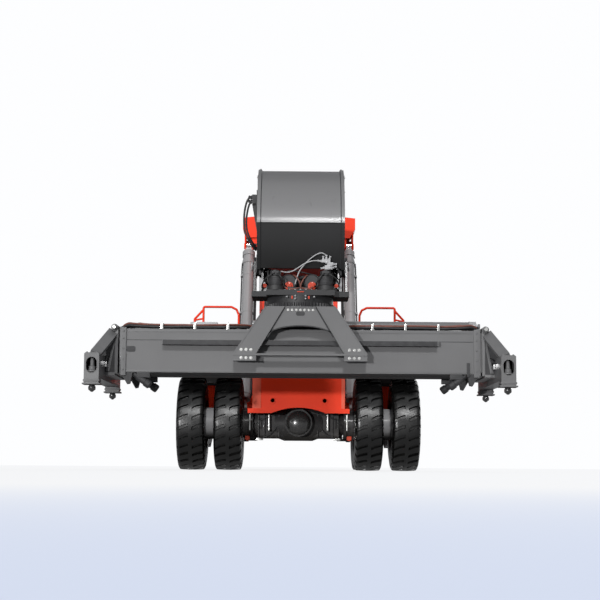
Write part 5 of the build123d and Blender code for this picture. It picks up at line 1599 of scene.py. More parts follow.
meshPiece("boom_plates", "outer_boom", "red", boomPlates)
meshPiece("boom_collar_bolts", "outer_boom", "steel", collarBolts)
meshPiece("boom_pipe_clamps", "outer_boom", "dark", boomClamps)
sidePipes = [[boomPlace(-0.585, -7.0, up), boomPlace(-0.585, 0.30, up)] for up in (0.28, 0.35, 0.42)]
topPipes = [
    [boomPlace(x, -6.7, boomMake["high"] + 0.050), boomPlace(x, 0.2, boomMake["high"] + 0.050)]
    for x in (-0.045, 0.0, 0.045)
]
hoses("boom_pipes", "outer_boom", "tube", sidePipes + topPipes, boomMake["pipeRadius"], smooth=False)
backHoses = []
for index, up in enumerate((0.28, 0.35, 0.42)):
    # loops round the pivot's boss, in the gap beside the boom
    back = 0.31 + 0.035 * index
    backHoses.append(
        [
            boomPlace(-0.582, 0.24, up), boomPlace(-0.580, back, up), boomPlace(-0.580, back, 0.05),
            boomPlace(-0.580, back, -0.16 - 0.03 * index), boomPlace(-0.580, 0.14, -0.16 - 0.03 * index),
            boomPlace(-0.576, 0.04, -0.20 - 0.02 * index)
        ]
    )
hoses("boom_back_hoses", "outer_boom", "rubber", backHoses, 0.0145)


def saddleParts(shape):
    # pipe elbows and caps in front of the red saddles
    for hand in (-1, 1):
        y = boomPivot.y - 3.43
        for x, z in ((0.80, 4.60), (0.88, 4.52), (0.72, 4.70)):
            place = (hand * x, y, z)
            addTurned(
                shape, [(0.02, 0.0), (0.02, 0.024), (-0.03, 0.024), (-0.03, 0.017), (-0.07, 0.017), (-0.07, 0.0)],
                place, (0, 1, 0), 12
            )
        addBox(shape, (hand * 0.66, y - 0.01, 4.74), (hand * 0.80, y + 0.015, 4.86), 0.006)


meshPiece("saddle_fittings", "outer_boom", "dark", saddleParts)
print("boom details made")

# lift cylinders
for side, hand in hands:
    foot = Vector(jointOf(f"lift_barrel_{side}_swing")["pos_m"])
    along = Vector(jointOf(f"lift_rod_{side}_slide")["axis"]).normalized()
    square = Vector((0, along.z, -along.y))      # out of the cylinder, forwards

    def onBarrel(distance, outward, x=0.0):
        return Vector((foot.x + x, foot.y, foot.z)) + along * distance - square * outward

    def barrelParts(shape):
        # collar rings, port blocks and pipe clamps on the barrel
        for distance in (0.34, 3.40):
            profile = [(0, 0.110), (0, 0.124), (0.02, 0.127), (0.07, 0.127), (0.09, 0.124), (0.09, 0.110)]
            addTurned(shape, profile, onBarrel(distance, 0), along, 48)
        for distance in (1.2, 2.2, 3.1):
            addTurned(shape, band(0, 0.035, 0.111, 0.1155), onBarrel(distance, 0), along, 48)
            tilt = Matrix.Rotation(math.atan2(along.z, along.y), 4, "X")
            centre = onBarrel(distance + 0.017, 0, hand * 0.124)
            half = Vector((0.028, 0.020, 0.030))
            addBox(shape, centre - half, centre + half, 0.004, tilt)

    meshPiece(f"lift_barrel_parts_{side}", f"lift_barrel_{side}", "tube", barrelParts)
    pipeRuns = [
        [onBarrel(0.40, 0.06, hand * 0.115), onBarrel(0.55, 0.0, hand * 0.130), onBarrel(1.0, 0.0, hand * 0.130),
         onBarrel(3.0, 0.0, hand * 0.130), onBarrel(3.36, 0.0, hand * 0.130), onBarrel(3.43, 0.02, hand * 0.120)],
    ]
    hoses(f"lift_barrel_pipes_{side}", f"lift_barrel_{side}", "dark", pipeRuns, 0.014)
    innerRuns = []
    for x, out in ((0.133, 0.03), (0.158, 0.01), (0.135, -0.03), (0.158, -0.04)):
        innerRuns.append(
            [
                onBarrel(0.30, out, -hand * 0.11), onBarrel(0.50, out, -hand * x),
                onBarrel(1.4, out + 0.01, -hand * x), onBarrel(2.4, out - 0.01, -hand * x),
                onBarrel(3.20, out, -hand * x), onBarrel(3.42, out, -hand * 0.12)
            ]
        )
    hoses(f"lift_inner_hoses_{side}", f"lift_barrel_{side}", "rubber", innerRuns, 0.017)

    def rodParts(shape):
        # pale keeper plate in front of the eye, and the grease nipple's boss
        eye = Vector(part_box(f"lift_rod_{side}")[1])
        eyeY, eyeZ = eye.y - 0.115, eye.z - 0.115
        addBox(
            shape, (foot.x - 0.070, eyeY - 0.130, eyeZ - 0.150), (foot.x + 0.070, eyeY - 0.100, eyeZ - 0.045), 0.010
        )
        addTurned(
            shape, [(0, 0.020), (0.010, 0.020), (0.014, 0.012), (0.030, 0.010), (0.030, 0)],
            (foot.x, eyeY - 0.128, eyeZ - 0.01), (0, -1, 0), 16
        )

    meshPiece(f"lift_rod_keeper_{side}", f"lift_rod_{side}", "rim", rodParts)
print("lift cylinders made")

# cab: gaskets, wipers, mirrors, handles, roof parts
cabLow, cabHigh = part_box("cab_shell")
cabMake = {
    "gasket": 0.018,
    "sill": 2.32,               # height where the front face starts to lean
    "lean": 0.160 / 1.22,       # backwards for each metre up
}


def frontFaceY(z):
    return cabLow.y + (z - cabMake["sill"]) * cabMake["lean"]


def ring(shape, corners, outward, width, depth):
    # square-section frame round a flat opening, corners in order, outward is the face direction
    outward = Vector(outward).normalized()
    centre = sum((Vector(corner) for corner in corners), Vector()) / len(corners)
    inner, outer = [], []
    for corner in corners:
        corner = Vector(corner)
        away = corner - centre
        away = Vector([math.copysign(width, part) if abs(part) > 1e-4 else 0 for part in away])
        inner.append(corner - away * 0.45)
        outer.append(corner + away * 0.55)
    count = len(corners)
    low = [[shape.verts.new(place) for place in loop] for loop in (inner, outer)]
    high = [[shape.verts.new(place + outward * depth) for place in loop] for loop in (inner, outer)]
    for index in range(count):
        after = (index + 1) % count
        shape.faces.new((high[0][index], high[0][after], high[1][after], high[1][index]))
        shape.faces.new((low[0][index], low[0][after], high[0][after], high[0][index]))
        shape.faces.new((low[1][index], low[1][after], high[1][after], high[1][index]))


def cabGaskets(shape):
    width = cabMake["gasket"]
    z0, z1 = 2.385, 3.415
    ring(
        shape,
        [
            (-0.675, frontFaceY(z0) + 0.002, z0), (0.675, frontFaceY(z0) + 0.002, z0),
            (0.675, frontFaceY(z1) + 0.002, z1), (-0.675, frontFaceY(z1) + 0.002, z1)
        ],
        (0, -1, 0.13), width * 2, 0.010
    )
    ring(
        shape,
        [
            (-0.615, cabHigh.y - 0.004, 2.325), (0.615, cabHigh.y - 0.004, 2.325),
            (0.615, cabHigh.y - 0.004, 3.295), (-0.615, cabHigh.y - 0.004, 3.295)
        ],
        (0, 1, 0), width * 2, 0.010
    )
    for side, hand in hands:
        y0, y1 = cabLow.y + 0.255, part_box(f"door_glass_{side}")[0].y - 0.176
        x = hand * (cabHigh.x - 0.004)
        ring(shape, [(x, y0, 2.325), (x, y1, 2.325), (x, y1, 3.415), (x, y0, 3.415)], (hand, 0, 0), width * 2, 0.010)


meshPiece("cab_gaskets", "chassis", "rubber", cabGaskets)


def cabTrim(shape):
    # pressed ribs below the front window, rain gutters and roof edge
    for x in (-0.50, -0.25, 0.0, 0.25, 0.50):
        addBox(shape, (x - 0.05, cabLow.y + 0.012, 1.80), (x + 0.05, cabLow.y + 0.045, 2.20), 0.010)
    for hand in (-1, 1):
        x = hand * cabHigh.x
        addBox(
            shape, (x, cabLow.y + 0.18, cabHigh.z - 0.055),
            (x + hand * 0.028, cabHigh.y - 0.08, cabHigh.z - 0.035), 0.006
        )
        addBox(
            shape, (hand * 0.74, cabLow.y + 0.22, cabHigh.z),
            (hand * 0.775, cabHigh.y - 0.10, cabHigh.z + 0.022), 0.006
        )
    addBox(shape, (-0.775, cabLow.y + 0.17, cabHigh.z), (0.775, cabLow.y + 0.21, cabHigh.z + 0.022), 0.006)


meshPiece("cab_ribs", "chassis", "red", cabTrim)


def cabPlastic(shape):
    # wipers with their hubs, roof air unit with its grille, and mirrors
    for hand in (-1, 1):
        z = 2.345
        base = Vector((hand * 0.30, frontFaceY(z) - 0.022, z))
        addTurned(shape, [(-0.01, 0.028), (0.012, 0.028), (0.022, 0.018), (0.022, 0)], base, (0, -1, 0.13), 20)
        tip = Vector((hand * 0.12, frontFaceY(2.95) - 0.030, 2.95))
        line = tip - base
        addTurned(shape, [(0, 0.010), (line.length, 0.006)], base, line, 8)
        blade = Vector((hand * 0.16, frontFaceY(2.68) - 0.024, 2.68))
        addTurned(shape, rod(-0.005, 0.56, 0.008), blade, (-hand * 0.12, 0.13, 1), 8)
    addBox(shape, (-0.42, cabHigh.y - 0.36, cabHigh.z), (0.42, cabHigh.y - 0.08, cabHigh.z + 0.13), 0.03)
    for index in range(9):
        y = cabHigh.y - 0.078
        addBox(
            shape, (-0.34, y - 0.004, cabHigh.z + 0.018 + index * 0.011),
            (0.34, y + 0.006, cabHigh.z + 0.023 + index * 0.011), 0.001
        )
    for hand in (-1, 1):
        mirrorY = cabLow.y - 0.16
        addBox(shape, (hand * 0.615, mirrorY, 2.62), (hand * 0.795, mirrorY + 0.050, 3.02), 0.018)
        addBox(shape, (hand * 0.625, mirrorY, 2.42), (hand * 0.785, mirrorY + 0.045, 2.57), 0.016)
        addBox(shape, (hand * 0.66, frontFaceY(3.46) - 0.03, 3.44), (hand * 0.70, frontFaceY(3.46), 3.49), 0.004)


meshPiece("cab_plastic_parts", "chassis", "plastic", cabPlastic)


def mirrorGlass(shape):
    for hand in (-1, 1):
        for z0, z1 in ((2.64, 3.00), (2.44, 2.55)):
            addBox(shape, (hand * 0.630, cabLow.y - 0.111, z0), (hand * 0.780, cabLow.y - 0.1075, z1), 0.002)


meshPiece("cab_mirror_glass", "chassis", "chrome", mirrorGlass)
armRuns = []
for hand in (-1, 1):
    armRuns.append(
        [
            (hand * 0.74, frontFaceY(3.14) + 0.01, 3.14), (hand * 0.74, cabLow.y - 0.07, 3.16),
            (hand * 0.71, cabLow.y - 0.135, 3.14), (hand * 0.705, cabLow.y - 0.135, 3.05),
            (hand * 0.705, cabLow.y - 0.135, 2.50)
        ]
    )
    armRuns.append(
        [
            (hand * 0.74, frontFaceY(2.60) + 0.01, 2.60), (hand * 0.73, cabLow.y - 0.08, 2.60),
            (hand * 0.705, cabLow.y - 0.135, 2.595)
        ]
    )
hoses("cab_mirror_arms", "chassis", "plastic", armRuns, 0.012)
grabRuns = []
for hand in (-1, 1):
    x = hand * (cabHigh.x + 0.065)
    for y0 in (cabLow.y + 0.16, cabHigh.y - 0.10):
        grabRuns.append(
            [
                (hand * cabHigh.x, y0, 1.90), (x, y0, 1.90), (x, y0, 1.96), (x, y0, 2.22), (x, y0, 2.26),
                (hand * cabHigh.x, y0, 2.26)
            ]
        )
hoses("cab_grab_rails", "chassis", "dark", grabRuns, 0.014)


def roofBeacon(shape):
    # round warning beacon on its stalk
    place = (0.55, cabHigh.y - 0.20, cabHigh.z - 0.002)
    addTurned(
        shape,
        [
            (0, 0.06), (0.015, 0.065), (0.030, 0.058), (0.035, 0.052), (0.10, 0.050), (0.125, 0.040), (0.135, 0.018),
            (0.137, 0)
        ],
        place, (0, 0, 1), 32
    )


meshPiece("cab_beacon", "chassis", "orange", roofBeacon)
for side, hand in hands:
    low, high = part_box(f"cab_door_{side}")
    paneLow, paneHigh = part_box(f"door_glass_{side}")

    def doorParts(shape):
        # gasket round the window, lock case and handle
        x = hand * (cabHigh.x - 0.001)
        y0, y1, z0, z1 = paneLow.y, paneHigh.y, paneLow.z, paneHigh.z
        ring(shape, [(x, y0, z0), (x, y1, z0), (x, y1, z1), (x, y0, z1)], (hand, 0, 0), 0.030, 0.009)
        addBox(shape, (x, low.y + 0.025, 2.00), (x + hand * 0.012, low.y + 0.075, 2.14), 0.004)
        addTurned(
            shape, [(0, 0.014), (0.012, 0.014), (0.014, 0.0)], (x + hand * 0.001, low.y + 0.05, 1.965), (hand, 0, 0),
            20
        )
        addBox(shape, (x, low.y + 0.06, 1.74), (x + hand * 0.006, high.y - 0.10, 2.06), 0.004)

    meshPiece(f"cab_door_parts_{side}", f"door_{side}", "rubber", doorParts)


def consoleParts(shape):
    # screen, joystick head, switches and the steering wheel's hub
    addBox(shape, (0.30, 2.42, 2.36), (0.335, 2.60, 2.52), 0.006, Matrix.Rotation(0.2, 4, "Z"))
    addTurned(
        shape, [(0, 0.0), (0, 0.026), (0.03, 0.034), (0.09, 0.030), (0.115, 0.020), (0.12, 0.0)],
        (0.365, 2.612, 2.435), (0, -0.05, 1), 20
    )
    addTurned(
        shape, [(0, 0.0), (0, 0.05), (0.03, 0.045), (0.045, 0.02), (0.046, 0.0)], (0, 2.342, 2.415), (0, 0.55, 0.83),
        24
    )
    for row in range(3):
        for column in range(2):
            addBox(
                shape, (0.335 + column * 0.045, 2.70 + row * 0.06, 2.2898),
                (0.365 + column * 0.045, 2.73 + row * 0.06, 2.306), 0.003
            )


meshPiece("cab_console_parts", "chassis", "plastic", consoleParts)
print("cab details made")

# hood, engine air and exhaust
hoodLow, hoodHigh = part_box("engine_hood")
cabinetBackY = rearAxle.y - 0.72
hoodMake = {"sideSlats": 11, "cabinetSlats": 10, "backSlats": 14}


def louvres(shape, low, high, axis, hand, slats):
    # slanted slats in a raised frame on a face square to axis 0 (x) or 1 (y)
    pitch = (high[2] - low[2]) / slats
    for index in range(slats):
        z = low[2] + pitch * index
        a, b = list(low), list(high)
        a[2], b[2] = z + pitch * 0.18, z + pitch * 0.62
        a[axis] = low[axis]
        b[axis] = low[axis] + hand * 0.016
        tilt = Matrix.Rotation(math.radians(24) * (hand if axis == 1 else -hand) * -1, 4, "X" if axis == 1 else "Y")
        addBox(shape, a, b, 0.002, tilt)
    edge = 0.018
    other = 1 - axis
    for z in (low[2] - edge, high[2]):
        a, b = list(low), list(high)
        a[2], b[2] = z, z + edge
        b[axis] = low[axis] + hand * 0.010
        addBox(shape, a, b, 0.003)
    for place in (low[other] - edge, high[other]):
        a, b = list(low), list(high)
        a[2], b[2] = low[2] - edge, high[2] + edge
        a[other], b[other] = place, place + edge
        b[axis] = low[axis] + hand * 0.010
        addBox(shape, a, b, 0.003)


def hoodLouvres(shape):
    for hand in (-1, 1):
        x = hand * hoodHigh.x
        louvres(shape, (x, hoodLow.y + 0.10, 1.95), (x, cabinetBackY - 0.10, 2.58), 0, hand, hoodMake["sideSlats"])
        first, last = sorted((hand * 0.86, hand * 1.22))
        louvres(shape, (first, cabinetBackY, 1.95), (last, cabinetBackY, 2.55), 1, 1, hoodMake["cabinetSlats"])
    louvres(shape, (-0.46, hoodHigh.y, 1.88), (0.46, hoodHigh.y, 2.44), 1, 1, hoodMake["backSlats"])


def hoodPanels(shape):
    # door skins on the top and front, with broken edges and a rib along each
    for hand in (-1, 1):
        first, last = sorted((hand * 0.80, hand * 1.27))
        addBox(
            shape, (first, hoodLow.y + 0.03, hoodHigh.z - 0.001),
            (last, cabinetBackY - 0.03, hoodHigh.z + 0.010), 0.004
        )
        addBox(shape, (first + 0.02, hoodLow.y - 0.010, 1.86), (last - 0.02, hoodLow.y + 0.001, 2.68), 0.004)
    for y in (4.75, 5.30):
        addBox(shape, (-0.55, y - 0.26, hoodHigh.z - 0.001), (0.55, y + 0.26, hoodHigh.z + 0.012), 0.005)
        addBox(shape, (-0.42, y - 0.02, hoodHigh.z + 0.010), (0.42, y + 0.02, hoodHigh.z + 0.020), 0.004)


def hoodLatches(shape):
    for hand in (-1, 1):
        x = hand * hoodHigh.x
        for y in (hoodLow.y + 0.06, cabinetBackY - 0.06):
            for z in (2.05, 2.50):
                addTurned(
                    shape, [(0, 0.020), (0.006, 0.020), (0.010, 0.012), (0.010, 0.0)], (x, y, z), (hand, 0, 0), 16
                )
                addBox(shape, (x, y - 0.030, z - 0.010), (x + hand * 0.014, y + 0.030, z + 0.010), 0.003)
        for z in (1.98, 2.56):
            addTurned(shape, rod(-0.05, 0.05, 0.010), (hand * 1.25, hoodLow.y - 0.014, z), (0, 0, 1), 12)


meshPiece("hood_louvres", "chassis", "plastic", hoodLouvres)
meshPiece("hood_panels", "chassis", "red", hoodPanels)
meshPiece("hood_latches", "chassis", "steel", hoodLatches)
stackLow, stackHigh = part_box("exhaust")
stack = Vector(((stackLow.x + stackHigh.x) / 2, (stackLow.y + stackHigh.y) / 2, stackLow.z))


def exhaustShield(shape):
    # perforated shield round the silencer, clamps and the rain flap
    for index in range(16):
        profile = band(0.06, 0.54, 0.098, 0.104, True)
        addTurned(shape, profile, stack, (0, 0, 1), 2, index * 22.5, 13)
    for z in (0.06, 0.29, 0.52):
        addTurned(shape, band(z, z + 0.022, 0.091, 0.107), stack, (0, 0, 1), 48)
    addTurned(shape, band(0.64, 0.66, 0.056, 0.063), stack, (0, 0, 1), 32)
    top = stackHigh.z
    addTurned(shape, rod(-0.004, 0.004, 0.060), (stack.x, stack.y + 0.01, top + 0.020), (0, -0.35, 1), 32)
    addTurned(shape, rod(-0.03, 0.03, 0.009), (stack.x, stack.y + 0.066, top + 0.004), (1, 0, 0), 12)


def airCleaner(shape):
    # canister on the other side with its pre-cleaner bowl
    place = (-stack.x, stack.y, stack.z)
    profile = [
        (0.0, 0.0), (0.0, 0.13), (0.03, 0.135), (0.04, 0.125), (0.40, 0.125), (0.41, 0.135), (0.44, 0.13),
        (0.46, 0.07), (0.54, 0.06), (0.55, 0.115), (0.60, 0.125), (0.66, 0.115), (0.70, 0.07), (0.71, 0.0)
    ]
    addTurned(shape, profile, place, (0, 0, 1), 40)
    for z in (0.12, 0.32):
        addTurned(shape, band(z, z + 0.025, 0.124, 0.131), place, (0, 0, 1), 40)


meshPiece("exhaust_shield", "chassis", "steel", exhaustShield)
meshPiece("air_cleaner", "chassis", "plastic", airCleaner)
print("hood details made")

# counterweight: seams, rear lamps, lifting eyes and the tow pin
weightLow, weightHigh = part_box("counterweight")
rearMake = {"lampX": 1.66, "lampZ": 1.86, "eyeX": 1.45}


def weightPlates(shape):
    # cast-in ribs and the foot of each lifting eye
    y = weightHigh.y
    for z in (1.20, 1.62):
        addBox(shape, (-1.60, y - 0.002, z - 0.012), (1.60, y + 0.006, z + 0.012), 0.004)
    for hand in (-1, 1):
        addTurned(
            shape, band(-0.02, 0.02, 0.042, 0.085, True), (hand * rearMake["eyeX"], y - 0.18, weightHigh.z + 0.05),
            (1, 0, 0), 28
        )
        addBox(
            shape, (hand * rearMake["eyeX"] - 0.05, y - 0.28, weightHigh.z - 0.002),
            (hand * rearMake["eyeX"] + 0.05, y - 0.08, weightHigh.z + 0.012), 0.004
        )
        addBox(
            shape, (hand * (rearMake["lampX"] - 0.19), y - 0.002, rearMake["lampZ"] - 0.075),
            (hand * (rearMake["lampX"] + 0.14), y + 0.008, rearMake["lampZ"] + 0.075), 0.006
        )


def rearLampCases(shape):
    y = weightHigh.y + 0.008
    for hand in (-1, 1):
        for offset in (-0.11, 0.0, 0.09):
            x = hand * (rearMake["lampX"] + offset)
            addTurned(
                shape, [(0, 0.050), (0.022, 0.050), (0.026, 0.044), (0.018, 0.040)], (x, y, rearMake["lampZ"]),
                (0, 1, 0), 28
            )
    addBox(shape, (-0.20, y - 0.01, 1.30), (0.20, y + 0.004, 1.42), 0.006)


def rearLenses(shape):
    y = weightHigh.y + 0.008
    for hand in (-1, 1):
        for offset in (-0.11, 0.09):
            x = hand * (rearMake["lampX"] + offset)
            addTurned(shape, [(0.016, 0.041), (0.024, 0.030), (0.028, 0.0)], (x, y, rearMake["lampZ"]), (0, 1, 0), 28)


def clearLenses(shape):
    # middle lens of each rear cluster
    for hand in (-1, 1):
        place = (hand * rearMake["lampX"], weightHigh.y + 0.008, rearMake["lampZ"])
        addTurned(shape, [(0.016, 0.041), (0.024, 0.030), (0.028, 0.0)], place, (0, 1, 0), 28)


def towPin(shape):
    place = (0, weightHigh.y - 0.11, weightLow.z)
    profile = [
        (-0.015, 0.0), (-0.015, 0.015), (0.0, 0.0235), (0.455, 0.0235), (0.455, 0.040), (0.475, 0.040),
        (0.480, 0.012), (0.50, 0.010), (0.50, 0)
    ]
    addTurned(shape, profile, place, (0, 0, 1), 28)
    ringPlace = Vector(place) + Vector((0, 0, 0.535))
    turns = [step * math.pi / 12 for step in range(25)]
    spots = [ringPlace + Vector((0.038 * math.cos(turn), 0, 0.038 * math.sin(turn))) for turn in turns]
    for start, end in zip(spots, spots[1:]):
        addTurned(shape, [(0, 0.006), ((end - start).length, 0.006)], start, end - start, 8)


meshPiece("counterweight_plates", "chassis", "red", weightPlates)
meshPiece("rear_lamp_cases", "chassis", "plastic", rearLampCases)
meshPiece("rear_lamp_lenses", "chassis", "orange", rearLenses)
meshPiece("rear_clear_lenses", "chassis", "lens", clearLenses)
meshPiece("tow_pin", "chassis", "steel", towPin)

# tanks, deck edge and grab rails
for tankName, hand in (("fuel_tank", -1), ("hydraulic_tank", 1)):
    tankLow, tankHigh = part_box(tankName)
    outX = hand * max(abs(tankLow.x), abs(tankHigh.x))
    inX = hand * min(abs(tankLow.x), abs(tankHigh.x))

    def straps(shape):
        # bands that follow the rounded lower edges
        for y in (tankLow.y + 0.30, (tankLow.y + tankHigh.y) / 2, tankHigh.y - 0.30):
            outline = []
            for centreX, first, last in ((outX - hand * 0.12, 0, -90), (inX + hand * 0.12, -90, -180)):
                for step in range(9):
                    angle = math.radians(first + (last - first) * step / 8)
                    outline.append(
                        (centreX + hand * 0.12 * math.cos(angle), tankLow.z + 0.12 + 0.12 * math.sin(angle))
                    )
            outer = [(outX, tankHigh.z - 0.02)] + outline + [(inX, tankHigh.z - 0.02)]
            centre = Vector(((outX + inX) / 2, (tankLow.z + tankHigh.z) / 2))
            grown = []
            for x, z in outer:
                grown.append((x + math.copysign(0.006, x - centre.x), z + (-0.006 if z < centre.y - 0.2 else 0)))
            addSlab(shape, grown + list(reversed(outer)), (y - 0.035, y + 0.035))
        addBox(
            shape, (outX - hand * 0.001, tankLow.y + 0.52, 1.02), (outX + hand * 0.008, tankLow.y + 0.82, 1.40), 0.006
        )

    def tankFittings(shape):
        place = (outX, tankHigh.y - 0.55, 1.36)
        addTurned(
            shape, [(0, 0.085), (0.012, 0.085), (0.016, 0.070), (0.045, 0.066), (0.055, 0.056), (0.055, 0)], place,
            (hand, 0, 0), 32
        )
        for step in range(12):
            angle = math.pi * step / 6
            spot = Vector(place) + Vector((hand * 0.030, 0.067 * math.cos(angle), 0.067 * math.sin(angle)))
            addBox(shape, spot - Vector((0.014, 0.006, 0.006)), spot + Vector((0.014, 0.006, 0.006)), 0.002)
        for z in (0.86, 1.22):
            addTurned(
                shape, [(0, 0.020), (0.022, 0.020), (0.026, 0.012), (0.026, 0.0)], (outX, tankHigh.y - 0.32, z),
                (hand, 0, 0), 6
            )
        addTurned(shape, [(0, 0.008), (0.36, 0.008)], (outX + hand * 0.016, tankHigh.y - 0.32, 0.86), (0, 0, 1), 12)
        addTurned(
            shape, [(0, 0.025), (0.018, 0.025), (0.022, 0.015), (0.022, 0)],
            ((outX + inX) / 2, tankLow.y + 0.4, tankLow.z), (0, 0, -1), 6
        )

    meshPiece(f"{tankName}_straps", "chassis", "dark", straps)
    meshPiece(f"{tankName}_fittings", "chassis", "steel", tankFittings)

deckLow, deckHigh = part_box("chassis_deck")
railRuns = []
for hand in (-1, 1):
    x = hand * (deckHigh.x - 0.04)
    for y in (2.33, 3.22):
        railRuns.append(
            [
                (x, y, 1.20), (x + hand * 0.02, y, 1.30), (x + hand * 0.02, y, 2.30), (x, y, 2.46),
                (x - hand * 0.10, y, 2.52), (x - hand * 0.22, y, 2.48), (x - hand * 0.26, y, 2.36),
                (x - hand * 0.26, y, 1.602)
            ]
        )
hoses("deck_grab_rails", "chassis", "red", railRuns, 0.018)


def deckEdges(shape):
    # kick plates along the deck and treads on the steps
    for hand in (-1, 1):
        x = hand * deckHigh.x
        addBox(shape, (x - hand * 0.012, deckLow.y + 0.06, deckHigh.z), (x, 2.30, deckHigh.z + 0.07), 0.003)
        for height in (0.52, 0.88, 1.24):
            for index in range(9):
                y = 2.40 + index * 0.093
                addBox(
                    shape, (x - hand * 0.235, y - 0.008, height), (x - hand * 0.012, y + 0.008, height + 0.008), 0.002
                )
        for y in (0.5, 1.1, 1.7):
            addBolt(shape, (x, y, deckHigh.z + 0.035), (hand, 0, 0), 0.012, 0.010)


meshPiece("deck_edges", "chassis", "dark", deckEdges)
print("tank and deck details made")

# lamp lenses and bezels
lampSpots = (
    (0.56, cabLow.y + 0.23, 3.635, -1),
    (1.56, frontAxle.y - 0.71, 1.885, -1),
    (1.05, cabinetBackY - 0.12, 2.845, 1),
)


def roundedPlate(shape, centre, wide, tall, way, depth, corner=0.02):
    outline = []
    for sx, sz, first in ((1, 1, 0), (-1, 1, 90), (-1, -1, 180), (1, -1, 270)):
        for step in range(5):
            angle = math.radians(first + 22.5 * step)
            outline.append(
                (
                    centre[0] + sx * (wide - corner) + corner * math.cos(angle),
                    centre[2] + sz * (tall - corner) + corner * math.sin(angle)
                )
            )
    addSlab(shape, outline, (centre[1], centre[1] + way * depth))


def lampGlass(shape):
    for x, y, z, way in lampSpots:
        for hand in (-1, 1):
            roundedPlate(shape, (hand * x, y + way * 0.045, z), 0.062, 0.042, way, 0.007)


def lampBezels(shape):
    for x, y, z, way in lampSpots:
        for hand in (-1, 1):
            face = y + way * 0.0455
            for low, high in (
                ((-0.075, -0.055), (0.075, -0.043)), ((-0.075, 0.043), (0.075, 0.055)),
                ((-0.075, -0.055), (-0.063, 0.055)), ((0.063, -0.055), (0.075, 0.055)),
            ):
                addBox(
                    shape, (hand * x + low[0], face, z + low[1]),
                    (hand * x + high[0], face + way * 0.012, z + high[1]), 0.003
                )
            for index in range(5):
                fin = -0.05 + index * 0.025
                addBox(
                    shape, (hand * x + fin - 0.004, y - way * 0.045, z - 0.045),
                    (hand * x + fin + 0.004, y - way * 0.060, z + 0.045), 0.002
                )


meshPiece("lamp_lenses", "chassis", "lens", lampGlass)
meshPiece("lamp_bezels", "chassis", "plastic", lampBezels)

# seat: padded cushions blown up by a cloth simulation
seatMake = {
    "voxel": 0.010, "shrink": 0.010, "pressure": 4.0, "frames": 20, "cap": 0.012, "seamDepth": 0.009,
    "seamWidth": 0.011
}
seatLow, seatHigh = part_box("seat_cushions")
seatBase = ((seatLow.x, seatLow.y, seatLow.z), (seatHigh.x, seatLow.y + 0.41, seatLow.z + 0.12))
seatBack = ((seatLow.x + 0.01, seatHigh.y - 0.12, seatLow.z + 0.06), (seatHigh.x - 0.01, seatHigh.y, seatHigh.z))


def cushions(shape):
    gap = Vector((seatMake["shrink"],) * 3)
    for low, high in (seatBase, seatBack):
        addBox(shape, Vector(low) + gap, Vector(high) - gap, 0.030)


seat = meshPiece("seat_pads", "chassis", "cloth", cushions, 180)
bpy.context.view_layer.objects.active = seat
seat.data.remesh_voxel_size = seatMake["voxel"]
with bpy.context.temp_override(active_object=seat, object=seat, selected_objects=[seat]):
    bpy.ops.object.voxel_remesh()
seatStart = [vert.co.copy() for vert in seat.data.vertices]
cloth = seat.modifiers.new("cloth", "CLOTH")
cloth.settings.quality = 5
cloth.settings.mass = 0.3
cloth.settings.use_pressure = True
cloth.settings.uniform_pressure_force = seatMake["pressure"]
cloth.settings.effector_weights.gravity = 0
cloth.point_cache.frame_start = 1
cloth.point_cache.frame_end = seatMake["frames"]
for step in range(1, seatMake["frames"] + 1):
    bpy.context.scene.frame_set(step)
blown = seat.evaluated_get(bpy.context.evaluated_depsgraph_get()).to_mesh()
for vert, grown, start in zip(seat.data.vertices, blown.vertices, seatStart):
    shift = grown.co - start
    vert.co = start + shift.normalized() * min(shift.length, seatMake["cap"]) if shift.length > 1e-7 else start
seat.modifiers.remove(cloth)
bpy.context.scene.frame_set(1)


def seamDent(distance):
    return seatMake["seamDepth"] * math.exp(-((distance / seatMake["seamWidth"]) ** 2))


for vert in seat.data.vertices:
    x, y, z = vert.co
    if z < seatBase[1][2] + 0.02 and y < seatBase[1][1] + 0.012:
        if z > seatBase[0][2] + 0.06:      # top of the base: two long seams and a cross seam
            vert.co.z -= max(seamDent(abs(x) - 0.150), seamDent(y - seatBase[0][1] - 0.13) if abs(x) < 0.15 else 0)
            vert.co.z += 0.010 * math.cos(min(1, abs(x) / 0.25) * math.pi / 2) - 0.006
    elif y < seatBack[1][1] - 0.05:        # front of the back
        vert.co.y += max(
            seamDent(abs(x) - 0.145),
            *(seamDent(z - seatBack[0][2] - rise) if abs(x) < 0.145 else 0 for rise in (0.20, 0.42))
        )
smoothing = seat.modifiers.new("smooth", "SUBSURF")
smoothing.levels = smoothing.render_levels = 1
bpy.context.view_layer.update()
finished = bpy.data.meshes.new_from_object(seat.evaluated_get(bpy.context.evaluated_depsgraph_get()))
seat.modifiers.remove(smoothing)
seat.data = finished
finished.polygons.foreach_set("use_smooth", [True] * len(finished.polygons))
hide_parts("seat_cushions")
print("seat cushions made")

